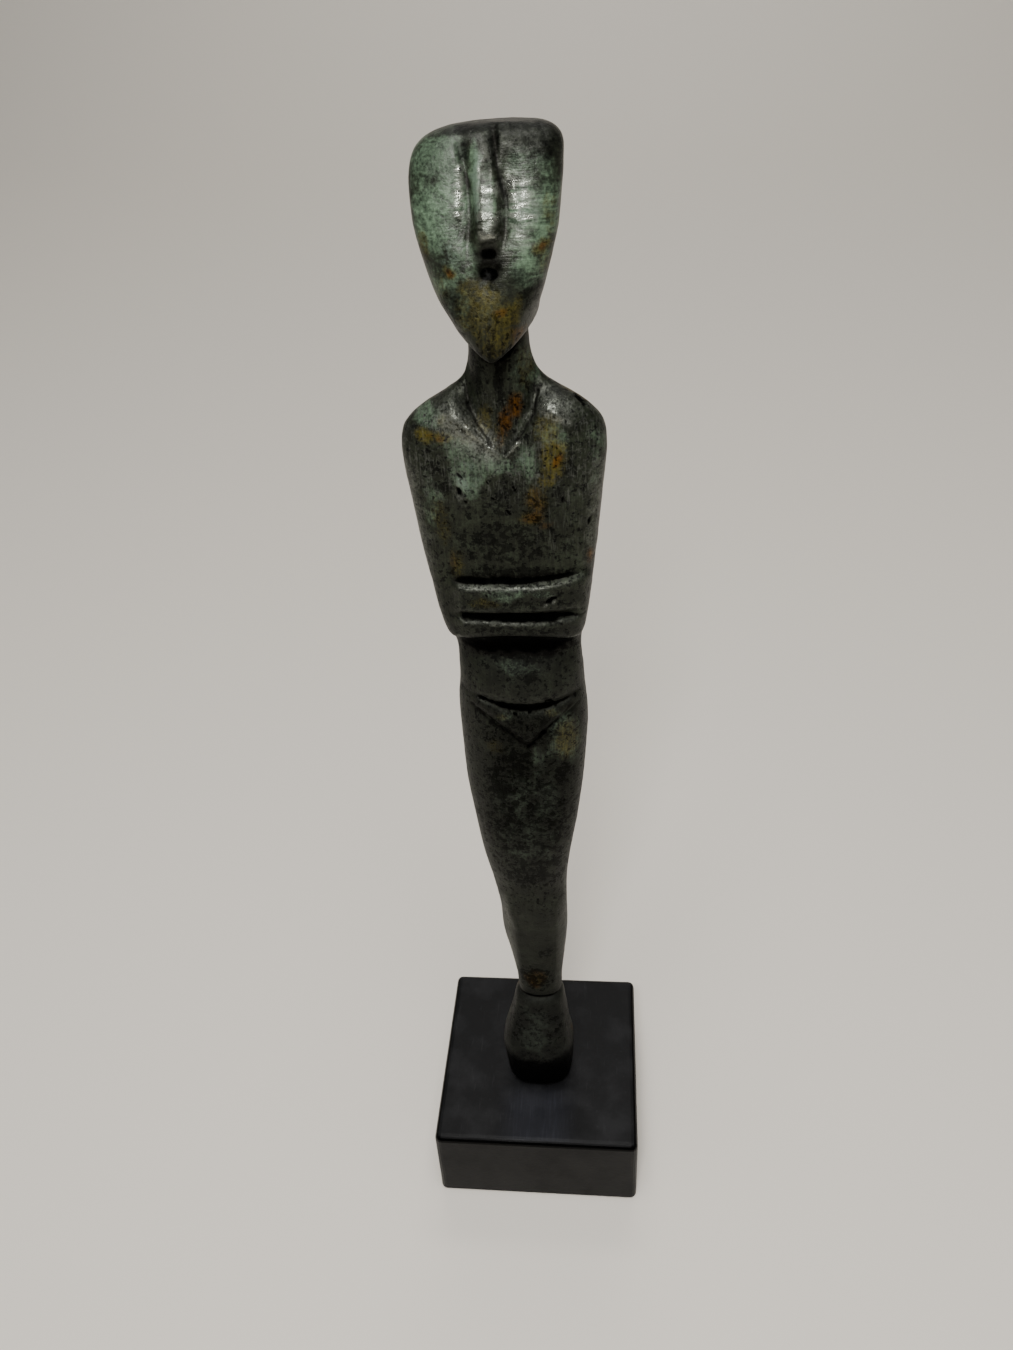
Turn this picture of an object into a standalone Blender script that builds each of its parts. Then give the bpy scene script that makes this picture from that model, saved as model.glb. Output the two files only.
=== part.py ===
"""Folded-arm idol of cast bronze on a square block of black stone.

The figure faces -Y and stands at the middle of the block. The origin is the
middle of the block's underside, and +Z is up. All sizes are in metres.
"""
import math
from collections import namedtuple

import bmesh
import bpy
import numpy as np

# Driving dimensions.
FIGURE_HEIGHT = 0.218
BASE_WIDTH = 0.050
BASE_DEPTH = 0.050
BASE_HEIGHT = 0.023
BASE_EDGE_RADIUS = 0.0016
BASE_FOOT_CHAMFER = 0.0005
SEAT_GAP = 0.0003

# The figure is laid out on a rule of 218 equal parts from sole to crown. Every
# length of the figure below is in these parts, and one is a millimetre here.
PARTS_TALL = 218.0
PART = FIGURE_HEIGHT / PARTS_TALL

# Rows and columns of the skin.
FRONT_COLUMNS = 11
REAR_COLUMNS = 11
FRONT_GATHER = 0.3
ROW_STEP = 2.8
ROW_SLACK = 0.15
OUTLINE_SAMPLES = 90

# Levels at which an edge runs round the figure.
SOLE_EDGE = 0.8
TOE_LEVEL = 13.4
ELBOW_LEVEL = 135.6
NECKLINE_LEVEL = 181.7
THROAT_LEVEL = 191.2
JAW_LEVEL = 192.1

# One level cut through the figure. Front, side and back are places along Y: the
# middle of the front, the widest place and the middle of the back. A power of 2
# gives an oval quarter, and more gives a squarer one. Tilt lowers the front, in
# degrees, and shift moves the whole cut sideways.
Cut = namedtuple("Cut", "level half_width front side back front_power back_power tilt shift")

CUTS = (
    # Feet, fused in one wedge with a blunt toe.
    Cut(0.0, 7.4, -8.9, -2.6, 4.4, 2.7, 2.6, 0.0, 0.3),
    Cut(SOLE_EDGE, 7.8, -9.4, -2.6, 4.8, 2.7, 2.6, 0.0, 0.3),
    Cut(TOE_LEVEL, 8.8, -10.7, -3.0, 5.4, 2.6, 2.6, 0.0, 0.1),
    Cut(15.0, 8.4, -9.9, -2.8, 5.4, 2.6, 2.5, 0.0, 0.1),
    Cut(21.0, 7.1, -7.3, -1.4, 5.0, 2.6, 2.3, 0.0, 0.5),
    Cut(27.4, 5.9, -5.0, -0.3, 4.5, 2.4, 2.2, 0.0, 0.8),
    # Ankles, shins and knees, slightly bent.
    Cut(29.6, 5.3, -4.1, 0.1, 4.3, 2.2, 2.2, 0.0, 0.9),
    Cut(34.0, 5.5, -4.0, 0.2, 4.5, 2.2, 2.2, 0.0, 0.9),
    Cut(41.2, 6.4, -4.3, 0.5, 5.3, 2.2, 2.1, 0.0, 0.7),
    Cut(52.0, 7.55, -5.5, 0.4, 6.0, 2.5, 2.1, 0.0, 0.4),
    Cut(60.5, 7.65, -6.1, -0.2, 5.3, 2.5, 2.2, 0.0, 0.3),
    Cut(66.5, 8.15, -5.7, -0.5, 4.5, 2.4, 2.3, 0.0, -0.1),
    # Thighs, hips and belly.
    Cut(75.0, 9.3, -6.8, -0.8, 4.9, 2.3, 2.3, 0.0, -0.4),
    Cut(89.4, 11.3, -7.3, -0.5, 6.1, 2.4, 2.3, 0.0, -0.2),
    Cut(102.5, 12.5, -7.5, 0.0, 7.3, 2.5, 2.3, 0.0, 0.0),
    Cut(113.4, 12.8, -7.6, 0.2, 7.8, 2.5, 2.3, 0.0, 0.2),
    Cut(123.2, 12.1, -7.9, 0.0, 6.7, 2.4, 2.3, 0.0, 0.2),
    Cut(127.4, 11.9, -7.2, -0.2, 5.8, 2.4, 2.4, 0.0, 0.1),
    Cut(130.8, 11.8, -5.6, -0.4, 5.3, 2.4, 2.4, 0.0, 0.0),
    # Arms and chest, one flat tapering shield.
    Cut(133.0, 12.3, -5.5, -0.8, 5.0, 2.6, 2.6, 0.0, -0.2),
    Cut(ELBOW_LEVEL, 13.2, -5.9, -0.8, 5.0, 2.8, 2.7, 0.0, -0.4),
    Cut(149.5, 15.4, -6.3, -0.8, 5.2, 3.0, 2.8, 0.0, -0.8),
    Cut(161.0, 16.6, -6.4, -0.8, 5.3, 3.0, 2.8, 0.0, -0.9),
    Cut(170.3, 17.4, -6.1, -0.7, 5.0, 2.8, 2.7, 0.0, -0.9),
    Cut(173.8, 16.8, -6.0, -0.6, 4.7, 2.5, 2.5, 0.0, -0.8),
    # Shoulders sloping to the neck.
    Cut(175.6, 15.2, -5.9, -0.5, 4.5, 2.3, 2.3, 0.0, -0.7),
    Cut(177.2, 13.1, -5.8, -0.4, 4.4, 2.1, 2.1, 0.0, -0.5),
    Cut(178.8, 10.3, -5.7, -0.3, 4.3, 2.0, 2.0, 0.0, -0.4),
    Cut(180.4, 7.5, -5.6, -0.3, 4.2, 2.0, 2.0, 0.0, -0.5),
    Cut(NECKLINE_LEVEL, 6.3, -5.5, -0.3, 4.1, 2.0, 2.0, 1.0, -0.6),
    Cut(182.3, 5.9, -4.6, -0.3, 4.1, 2.0, 2.0, 2.0, -0.7),
    Cut(186.0, 4.9, -4.4, -0.3, 4.0, 2.0, 2.0, 10.0, -0.9),
    Cut(THROAT_LEVEL, 4.9, -4.6, -0.3, 4.1, 2.0, 2.0, 25.0, -1.0),
    # Jaw line, face and crown.
    Cut(JAW_LEVEL, 6.1, -12.1, -1.0, 4.2, 1.3, 2.0, 25.0, -0.8),
    Cut(193.3, 6.9, -12.3, -2.3, 4.5, 1.4, 2.0, 25.0, -1.1),
    Cut(195.6, 7.5, -12.1, -3.0, 4.9, 1.6, 2.0, 24.5, -1.3),
    Cut(198.1, 8.4, -11.5, -3.4, 5.2, 2.0, 2.0, 24.0, -1.4),
    Cut(203.0, 9.85, -10.3, -3.5, 5.5, 2.6, 2.1, 20.0, -1.4),
    Cut(208.0, 10.9, -8.9, -3.2, 5.9, 3.1, 2.2, 17.0, -1.4),
    Cut(212.4, 11.2, -7.4, -2.6, 5.8, 3.2, 2.3, 14.0, -1.2),
    Cut(214.8, 10.95, -6.7, -2.2, 5.3, 3.1, 2.3, 11.0, -0.85),
    Cut(216.3, 10.1, -6.0, -1.9, 3.8, 2.8, 2.3, 8.0, -0.25),
    Cut(217.3, 8.4, -4.9, -1.6, 1.8, 2.5, 2.3, 5.0, 0.3),
    Cut(PARTS_TALL, 5.3, -3.5, -1.4, 0.2, 2.2, 2.2, 3.0, 1.4),
)

# Runs of the table in which every cut has a row of its own, because the outline
# turns quickly there: the sole, the shoulders, the jaw and the crown.
QUICK_RUNS = ((0.0, 1.0), (173.0, 181.0), (THROAT_LEVEL, 194.0), (210.0, PARTS_TALL))

# Toe edge, lowest in the middle.
TOE_DIP = 0.9
TOE_CURVE = 0.035

# Folded forearms: two level bands that stand proud of the trunk.
ARM_BOTTOM = 133.8
ARM_GROOVE = 139.6
ARM_TOP = 144.2
ARM_RISE = 1.6
ARM_EDGE = 0.7
ARM_MIDDLE = 0.5
ARM_BOTTOM_LIFT = 1.5
ARM_BOTTOM_SAG = 0.011
ARM_GROOVE_LIFT = -0.3
ARM_TOP_LIFT = 1.2
ARM_TOP_SLOPE = 0.13
ARM_TOP_BEND = 2.0
ARM_GROOVE_LIP = 0.95
ARM_GROOVE_FLOOR = 0.45
ARM_GROOVE_DEPTH = 1.25
ARM_GROOVE_REACH = (9.6, 11.6)
UPPER_ARM_END = -9.9
UPPER_ARM_EDGE = 1.6
UPPER_ARM_FADE = 3.0

# Belly fold, the triangle under it and the short parting of the legs.
FOLD_LEVEL = 121.5
FOLD_MIDDLE = (1.3, 119.1)
FOLD_CURVE = 0.021
FOLD_LIP = 1.1
FOLD_DEPTH = 1.0
FOLD_REACH = (8.0, 10.5)
TRIANGLE_LEVEL = 117.0
TRIANGLE_APEX = (1.3, 110.6)
TRIANGLE_SLOPE = 0.84
TRIANGLE_GAP = 1.5
TRIANGLE_DEPTH = 0.55
LINE_WIDTH = 0.8
PARTING_BOTTOM = 99.0
PARTING_DEPTH = 0.2

# The neck's foot in front, a V that opens wider to the figure's right.
NECKLINE_STEP = 0.6
NECKLINE_APEX = (-0.4, 169.4)
NECKLINE_RIGHT_SLOPE = 0.85
NECKLINE_LEFT_SLOPE = 1.4
NECKLINE_RIGHT_CURVE = 0.09
NECKLINE_LEFT_CURVE = 0.02
THROAT_CREASE_X = -0.9
THROAT_CREASE_DEPTH = 0.45
THROAT_CREASE_WIDTH = 0.7
THROAT_CREASE_RISE = (181.0, 185.0)

# Levels between the carved lines where the rows run level again.
THIGH_CALM = 101.0
BELLY_CALM = 127.5
CHEST_CALM = (151.0, 158.0)
INSTEP_CALM = 26.0

# Groove between shin and foot.
ANKLE_LEVEL = 28.6
ANKLE_LIP = 0.9
ANKLE_FRONT_DEPTH = 0.75
ANKLE_BACK_DEPTH = 0.45

# Face: a long nose with a flat front, hollows beside it and a small mouth pit. The
# nose falls off more gently on the figure's right. The rows named here pass under
# the nose and through the mouth.
FACE_ROWS = (202.4, 203.2, 204.0, 205.6, 206.4, 207.2)
NOSE_X = -0.9
NOSE_UNDERSIDE = (202.8, 204.4)
NOSE_TIP = 204.4
NOSE_TOP = 216.0
NOSE_FADE = 5.0
NOSE_ROOT_SHARE = 0.4
NOSE_RIGHT_WIDTH = 1.55
NOSE_LEFT_WIDTH = 1.8
NOSE_RIGHT_FLANK = 0.75
NOSE_LEFT_FLANK = 0.5
NOSE_RISE = 1.7
HOLLOW_OFFSET = 3.0
HOLLOW_WIDTH = 1.3
HOLLOW_DEPTH = 0.5
HOLLOW_FOOT = (200.6, 205.6)
HOLLOW_HEAD = (216.0, 212.0)
MOUTH = (-1.1, 199.3)
MOUTH_WIDTH = 1.2
MOUTH_STRETCH = 1.3
MOUTH_DEPTH = 0.8

# Back: spine and the parting of the legs, both shallow, with the run of each end.
SPINE_FOOT = (118.0, 128.0)
SPINE_HEAD = (176.0, 168.0)
SPINE_WIDTH = 1.6
SPINE_DEPTH = 0.55
LEG_PARTING_FOOT = (38.0, 54.0)
LEG_PARTING_HEAD = (116.0, 108.0)
LEG_PARTING_DEPTH = 1.0
LEG_PARTING_WIDTH = 1.5

# How far round the sides the carving of the front and of the back reaches, as
# shares of facing squarely forward or back.
FRONT_REACH = (0.05, 0.5)
REAR_REACH = (0.3, 0.8)


def clear_scene():
    """Remove whatever the scene holds."""
    for item in list(bpy.data.objects):
        bpy.data.objects.remove(item, do_unlink=True)


def make_material(name, color, roughness, metallic):
    """One plain Principled material."""
    material = bpy.data.materials.new(name)
    material.use_nodes = True
    shader = material.node_tree.nodes["Principled BSDF"]
    shader.inputs["Base Color"].default_value = (*color, 1.0)
    shader.inputs["Roughness"].default_value = roughness
    shader.inputs["Metallic"].default_value = metallic
    return material


def ramp(value, low, high):
    """Rise smoothly from 0 at low to 1 at high; high may be the smaller."""
    share = min(max((value - low) / (high - low), 0.0), 1.0)
    return share * share * (3.0 - 2.0 * share)


def bell(distance, width):
    """A rounded bump of height 1 that is spent at about twice its width."""
    return math.exp(-((distance / width) ** 2))


def smooth_track(levels, values):
    """A curve through the values that never overshoots between two of them."""
    levels = np.array(levels)
    values = np.array(values)
    steps = np.diff(levels)
    slopes = np.diff(values) / steps
    tangents = np.zeros(len(values))
    for i in range(1, len(values) - 1):
        if slopes[i - 1] * slopes[i] > 0.0:
            before = 2.0 * steps[i] + steps[i - 1]
            after = steps[i] + 2.0 * steps[i - 1]
            tangents[i] = (before + after) / (before / slopes[i - 1] + after / slopes[i])
    tangents[0] = slopes[0]
    tangents[-1] = slopes[-1]

    def track(level):
        i = int(np.clip(np.searchsorted(levels, level) - 1, 0, len(steps) - 1))
        t = (level - levels[i]) / steps[i]
        rise = steps[i]
        return float(
            values[i] * (1 + 2 * t) * (1 - t) ** 2
            + rise * tangents[i] * t * (1 - t) ** 2
            + values[i + 1] * t * t * (3 - 2 * t)
            + rise * tangents[i + 1] * t * t * (t - 1)
        )

    return track


def toe_line(x):
    """Height of the edge between instep and toe."""
    return TOE_LEVEL - TOE_DIP + TOE_CURVE * x * x


def triangle_line(x):
    """Height of the triangle's two lines, which end under the belly fold."""
    apex_x, apex_z = TRIANGLE_APEX
    return min(apex_z + TRIANGLE_SLOPE * abs(x - apex_x), fold_line(x) - TRIANGLE_GAP)


def fold_line(x):
    """Height of the belly fold, lowest in the middle."""
    middle, lowest = FOLD_MIDDLE
    return lowest + FOLD_CURVE * (x - middle) ** 2


def arm_bottom_line(x):
    """Height of the lower forearm's lower edge, which drops towards the elbows."""
    return ARM_BOTTOM + ARM_BOTTOM_LIFT - ARM_BOTTOM_SAG * x * x


def arm_groove_line(x):
    """Height of the groove between the forearms."""
    return ARM_GROOVE + ARM_GROOVE_LIFT


def arm_top_line(x):
    """Height of the upper forearm's upper edge, which rises to the figure's left."""
    return ARM_TOP + ARM_TOP_LIFT + ARM_TOP_SLOPE * max(0.0, x - ARM_TOP_BEND)


def neck_line(x):
    """Height of the V at the neck's foot."""
    apex_x, apex_z = NECKLINE_APEX
    off = abs(x - apex_x)
    if x < apex_x:
        rise = off * (NECKLINE_RIGHT_SLOPE + NECKLINE_RIGHT_CURVE * off)
    else:
        rise = off * (NECKLINE_LEFT_SLOPE + NECKLINE_LEFT_CURVE * off)
    return min(apex_z + rise, NECKLINE_LEVEL)


def stay_level(level):
    """A guide that keeps its row level."""
    return level, lambda x: level


# The rows of the front run along the carved lines, so that each has crisp edges.
GUIDES = (
    stay_level(SOLE_EDGE),
    (TOE_LEVEL, toe_line),
    stay_level(INSTEP_CALM),
    stay_level(THIGH_CALM),
    (TRIANGLE_LEVEL, triangle_line),
    (FOLD_LEVEL, fold_line),
    stay_level(BELLY_CALM),
    (ARM_BOTTOM, arm_bottom_line),
    (ARM_GROOVE, arm_groove_line),
    (ARM_TOP, arm_top_line),
    stay_level(CHEST_CALM[0]),
    stay_level(CHEST_CALM[1]),
    (NECKLINE_LEVEL, neck_line),
    stay_level(THROAT_LEVEL),
)


def guided_height(level, x):
    """Height of a row on the front, between the carved lines above and below it."""
    for (low, low_line), (high, high_line) in zip(GUIDES, GUIDES[1:]):
        if low <= level <= high:
            share = (level - low) / (high - low)
            return low_line(x) * (1.0 - share) + high_line(x) * share
    return level


def row_levels():
    """Levels of all rows: both ends, each edge and carved line, and even steps between."""
    fixed = {TOE_LEVEL, ELBOW_LEVEL, *FACE_ROWS}
    fixed.update(cut.level for low, high in QUICK_RUNS for cut in CUTS if low <= cut.level <= high)
    fixed.update(ANKLE_LEVEL + offset for offset in (-ANKLE_LIP, 0.0, ANKLE_LIP))
    fixed.update((ARM_BOTTOM - ARM_EDGE, ARM_BOTTOM, ARM_TOP, ARM_TOP + ARM_EDGE))
    for offset in (ARM_GROOVE_LIP, ARM_GROOVE_FLOOR):
        fixed.update((ARM_GROOVE - offset, ARM_GROOVE + offset))
    fixed.update((FOLD_LEVEL - FOLD_LIP, FOLD_LEVEL, FOLD_LEVEL + FOLD_LIP))
    fixed.update((TRIANGLE_LEVEL - LINE_WIDTH, TRIANGLE_LEVEL, TRIANGLE_LEVEL + LINE_WIDTH))
    fixed.update((NECKLINE_LEVEL, NECKLINE_LEVEL + NECKLINE_STEP))
    marks = sorted(fixed)
    levels = [marks[0]]
    for low, high in zip(marks, marks[1:]):
        count = max(1, math.ceil((high - low) / ROW_STEP - ROW_SLACK))
        levels.extend(low + (high - low) * (i + 1) / count for i in range(count))
    return levels


def quarter(half_width, side, end, power, angles):
    """One quarter of a rounded outline, from the end on the middle line to the side."""
    across = half_width * np.sin(angles) ** (2.0 / power)
    along = side + (end - side) * np.cos(angles) ** (2.0 / power)
    return np.column_stack((across, along))


def spread(points, count, gather):
    """Count steps along a run of points, closer together at its start by the share gather."""
    lengths = np.concatenate(([0.0], np.cumsum(np.linalg.norm(np.diff(points, axis=0), axis=1))))
    even = np.linspace(0.0, 1.0, count + 1)
    wanted = lengths[-1] * even * (1.0 - gather + gather * even)
    return np.column_stack([np.interp(wanted, lengths, points[:, k]) for k in (0, 1)])


def half_outline(cut):
    """Right half of a cut, front middle to back middle, with a column on its front corner."""
    angles = np.linspace(0.0, math.pi / 2, OUTLINE_SAMPLES + 1)
    front = quarter(cut.half_width, cut.side, cut.front, cut.front_power, angles)
    back = quarter(cut.half_width, cut.side, cut.back, cut.back_power, angles)[::-1]
    corner = OUTLINE_SAMPLES // 2
    front_part = spread(front[: corner + 1], FRONT_COLUMNS, FRONT_GATHER)
    rear_part = spread(np.vstack((front[corner:], back[1:])), REAR_COLUMNS, 0.0)
    return np.vstack((front_part, rear_part[1:]))


def arm_relief(x, level):
    """Rise of the two forearms over the trunk, with the groove between them."""
    lower_edge = ramp(level, ARM_BOTTOM - ARM_EDGE, ARM_BOTTOM)
    upper_edge = ramp(level, ARM_TOP + ARM_EDGE, ARM_TOP)
    elbow = ramp(level, ARM_TOP + UPPER_ARM_FADE, ARM_BOTTOM)
    inside = ramp(x, UPPER_ARM_END - UPPER_ARM_EDGE, UPPER_ARM_END)
    band = lower_edge * (upper_edge * inside + elbow * (1.0 - inside))
    reach = ramp(abs(x - ARM_MIDDLE), ARM_GROOVE_REACH[1], ARM_GROOVE_REACH[0])
    groove = ramp(abs(level - ARM_GROOVE), ARM_GROOVE_LIP, ARM_GROOVE_FLOOR)
    return ARM_RISE * band - ARM_GROOVE_DEPTH * groove * reach


def belly_relief(x, z, level):
    """Belly fold, the two lines of the triangle and the parting below them."""
    reach = ramp(abs(x - FOLD_MIDDLE[0]), FOLD_REACH[1], FOLD_REACH[0])
    depth = FOLD_DEPTH * ramp(abs(level - FOLD_LEVEL), FOLD_LIP, 0.0) * reach
    depth += TRIANGLE_DEPTH * ramp(abs(level - TRIANGLE_LEVEL), LINE_WIDTH, 0.0) * reach
    parting = bell(x - TRIANGLE_APEX[0], LINE_WIDTH) * ramp(z, PARTING_BOTTOM, TRIANGLE_APEX[1])
    parting *= level < TRIANGLE_LEVEL
    return -(depth + PARTING_DEPTH * parting)


def throat_relief(x, level):
    """The crease down the throat."""
    crease = bell(x - THROAT_CREASE_X, THROAT_CREASE_WIDTH)
    return -THROAT_CREASE_DEPTH * crease * ramp(level, *THROAT_CREASE_RISE)


def ankle_relief(level, frontness):
    """The groove round the ankle, fainter behind."""
    groove = ramp(abs(level - ANKLE_LEVEL), ANKLE_LIP, 0.0)
    return -groove * (ANKLE_BACK_DEPTH + (ANKLE_FRONT_DEPTH - ANKLE_BACK_DEPTH) * frontness)


def back_relief(x, z):
    """Spine and the parting of the legs."""
    spine = ramp(z, *SPINE_FOOT) * ramp(z, *SPINE_HEAD)
    legs = ramp(z, *LEG_PARTING_FOOT) * ramp(z, *LEG_PARTING_HEAD)
    depth = SPINE_DEPTH * spine * bell(x, SPINE_WIDTH)
    return -(depth + LEG_PARTING_DEPTH * legs * bell(x, LEG_PARTING_WIDTH))


def face_relief(x, z):
    """Nose, the hollow on each side of it and the mouth pit."""
    off = abs(x - NOSE_X)
    height = NOSE_ROOT_SHARE + (1.0 - NOSE_ROOT_SHARE) * ramp(z, NOSE_TOP, NOSE_TIP)
    height *= ramp(z, *NOSE_UNDERSIDE) * ramp(z, NOSE_TOP, NOSE_TOP - NOSE_FADE)
    if x < NOSE_X:
        width, flank = NOSE_RIGHT_WIDTH, NOSE_RIGHT_FLANK
    else:
        width, flank = NOSE_LEFT_WIDTH, NOSE_LEFT_FLANK
    nose = NOSE_RISE * height * ramp(off, width + flank, width - flank)
    hollow = bell(off - HOLLOW_OFFSET, HOLLOW_WIDTH) * ramp(z, *HOLLOW_FOOT) * ramp(z, *HOLLOW_HEAD)
    mouth_x, mouth_z = MOUTH
    mouth = bell(math.hypot((x - mouth_x) / MOUTH_STRETCH, z - mouth_z), MOUTH_WIDTH)
    return nose - HOLLOW_DEPTH * hollow - MOUTH_DEPTH * mouth


def carve(x, y, outward, cut):
    """Place one point of the skin, in parts, with its carving."""
    out_x, out_y = outward
    front = ramp(-out_y, *FRONT_REACH)
    rear = ramp(out_y, *REAR_REACH)
    z = cut.level + y * math.tan(math.radians(cut.tilt))
    if cut.level >= JAW_LEVEL:
        return x, y - front * face_relief(x, z), z
    z += front * (guided_height(cut.level, x) - cut.level)
    level = cut.level
    forward = front * (arm_relief(x, level) + belly_relief(x, z, level) + throat_relief(x, level))
    around = rear * back_relief(x, z) + ankle_relief(level, max(-out_y, 0.0))
    return x + out_x * around, y + out_y * around - forward, z


def figure_rows():
    """All rows of the skin, each a closed ring of points in metres above the seat."""
    names = Cut._fields[1:]
    levels = [cut.level for cut in CUTS]
    tracks = [smooth_track(levels, [getattr(cut, name) for cut in CUTS]) for name in names]
    rows = []
    for level in row_levels():
        cut = Cut(level, *(track(level) for track in tracks))
        half = half_outline(cut)
        ring = np.vstack((half, half[-2:0:-1] * (-1.0, 1.0)))
        ring[:, 0] += cut.shift
        along = np.roll(ring, -1, axis=0) - np.roll(ring, 1, axis=0)
        outward = np.column_stack((along[:, 1], -along[:, 0]))
        outward /= np.linalg.norm(outward, axis=1)[:, None]
        points = [carve(x, y, out, cut) for (x, y), out in zip(ring, outward)]
        rows.append([tuple(PART * value for value in point) for point in points])
    return rows


def close_end(mesh, ring, flip):
    """Close one end with a strip of faces between the front and the rear half."""
    count = len(ring)
    for i in range(count // 2):
        corners = [ring[i], ring[i + 1], ring[count - i - 1], ring[(count - i) % count]]
        face = list(dict.fromkeys(corners))
        if flip:
            face.reverse()
        mesh.faces.new(face)


def build_figure(material):
    """The whole bronze in one skin: a stack of rows, closed at the soles and the crown.

    The corners of the left half's faces start one step on, so that the left half
    folds as the mirror image of the right half.
    """
    mesh = bmesh.new()
    seat = BASE_HEIGHT + SEAT_GAP
    rings = [[mesh.verts.new((x, y, z + seat)) for x, y, z in row] for row in figure_rows()]
    for low, high in zip(rings, rings[1:]):
        for i in range(len(low)):
            j = (i + 1) % len(low)
            corners = [low[i], low[j], high[j], high[i]]
            if i >= len(low) // 2:
                corners.append(corners.pop(0))
            mesh.faces.new(corners)
    close_end(mesh, rings[0], True)
    close_end(mesh, rings[-1], False)
    bmesh.ops.recalc_face_normals(mesh, faces=mesh.faces)
    data = bpy.data.meshes.new("figure")
    mesh.to_mesh(data)
    mesh.free()
    data.materials.append(material)
    data.shade_smooth()
    figure = bpy.data.objects.new("figure", data)
    bpy.context.collection.objects.link(figure)
    return figure


def build_base(material):
    """The block: four upright edges and the top edge rounded, a small chamfer below."""
    mesh = bmesh.new()
    bmesh.ops.create_cube(mesh, size=1.0)
    bmesh.ops.scale(mesh, vec=(BASE_WIDTH, BASE_DEPTH, BASE_HEIGHT), verts=mesh.verts)
    bmesh.ops.translate(mesh, vec=(0.0, 0.0, BASE_HEIGHT / 2), verts=mesh.verts)
    rounded = [edge for edge in mesh.edges if max(v.co.z for v in edge.verts) > BASE_HEIGHT / 2]
    bmesh.ops.bevel(mesh, geom=rounded, offset=BASE_EDGE_RADIUS, segments=4, profile=0.5, affect="EDGES")
    low = [edge for edge in mesh.edges if max(v.co.z for v in edge.verts) < BASE_FOOT_CHAMFER / 2]
    bmesh.ops.bevel(mesh, geom=low, offset=BASE_FOOT_CHAMFER, segments=1, profile=0.5, affect="EDGES")
    bmesh.ops.recalc_face_normals(mesh, faces=mesh.faces)
    data = bpy.data.meshes.new("base")
    mesh.to_mesh(data)
    mesh.free()
    data.materials.append(material)
    data.shade_smooth()
    data.set_sharp_from_angle(angle=math.radians(40))
    base = bpy.data.objects.new("base", data)
    bpy.context.collection.objects.link(base)
    return base


def main():
    """Model the two pieces."""
    clear_scene()
    bronze = make_material("patinated_bronze", (0.060, 0.075, 0.055), 0.42, 0.85)
    stone = make_material("black_stone", (0.014, 0.015, 0.016), 0.38, 0.0)
    build_base(stone)
    build_figure(bronze)


main()
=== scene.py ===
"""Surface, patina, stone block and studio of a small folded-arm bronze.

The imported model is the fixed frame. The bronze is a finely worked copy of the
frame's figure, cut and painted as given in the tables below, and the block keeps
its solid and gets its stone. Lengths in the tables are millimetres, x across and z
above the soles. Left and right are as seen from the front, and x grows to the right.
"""

import math

import bpy
import numpy as np
from mathutils import Matrix, Vector, noise
from mathutils.bvhtree import BVHTree


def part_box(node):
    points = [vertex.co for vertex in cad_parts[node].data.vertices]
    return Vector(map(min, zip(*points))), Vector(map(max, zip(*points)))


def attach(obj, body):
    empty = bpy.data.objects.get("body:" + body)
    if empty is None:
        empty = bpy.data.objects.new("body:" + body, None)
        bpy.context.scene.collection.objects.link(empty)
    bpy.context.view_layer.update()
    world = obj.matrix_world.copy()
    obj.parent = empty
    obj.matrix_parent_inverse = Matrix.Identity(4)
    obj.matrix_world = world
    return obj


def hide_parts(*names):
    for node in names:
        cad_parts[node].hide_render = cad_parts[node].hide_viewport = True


bl_info = {
    "name": "Patinated Bronze Figurine",
    "version": (1, 0, 0),
    "blender": (4, 5, 0),
    "location": "View3D > Sidebar > Figurine",
    "description": "Works and patinates a small cast figurine and sets it in a studio",
    "category": "Object",
}

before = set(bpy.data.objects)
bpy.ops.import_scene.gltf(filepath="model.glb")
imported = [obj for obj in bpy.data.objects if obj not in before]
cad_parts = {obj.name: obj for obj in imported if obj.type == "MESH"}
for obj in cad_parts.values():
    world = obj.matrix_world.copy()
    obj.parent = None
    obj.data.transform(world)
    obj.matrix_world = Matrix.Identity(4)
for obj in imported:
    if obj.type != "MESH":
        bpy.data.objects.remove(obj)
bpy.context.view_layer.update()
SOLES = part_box("figure")[0].z
BLOCK_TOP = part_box("base")[1].z
BLOCK_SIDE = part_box("base")[1].x
MM = 0.001

# The finer mesh: how near points are merged, and how often each face is divided.
MERGE_WITHIN = 0.00001
FINER_LEVELS = 2

# Rounds of averaging over neighbours: to soften, and to find narrow and wide hollows.
SOFTEN_ROUNDS = 12
NEAR_ROUNDS = 8
WIDE_ROUNDS = 60

# Depths in the bronze's relief.
PINHOLE_DEPTH = 0.00011
SOOT_DEPTH = 0.00004

# The Mix node's sockets for colours.
MIX_FACTOR, MIX_FIRST, MIX_SECOND, MIX_RESULT = 0, 6, 7, 2

# The stage: a floor that curves up behind, the light on the head, and the camera.
FLOOR_SIZE = 8.0
FLOOR_MIDDLE = 1.0
FLOOR_STRIPS = 96
CURVE_START = 1.6
CURVE_RADIUS = 1.4
KEY_PLACE = (-0.012, -0.261, 0.415)
KEY_TINT = (1.0, 0.97, 0.93)
HEAD_MIDDLE = (0.0, 0.0, 0.225)
DAYLIGHT = (1.0, 0.98, 0.95)
CAMERA_PLACE = (0.01595, -0.16275, BLOCK_TOP + 0.2356)
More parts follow.
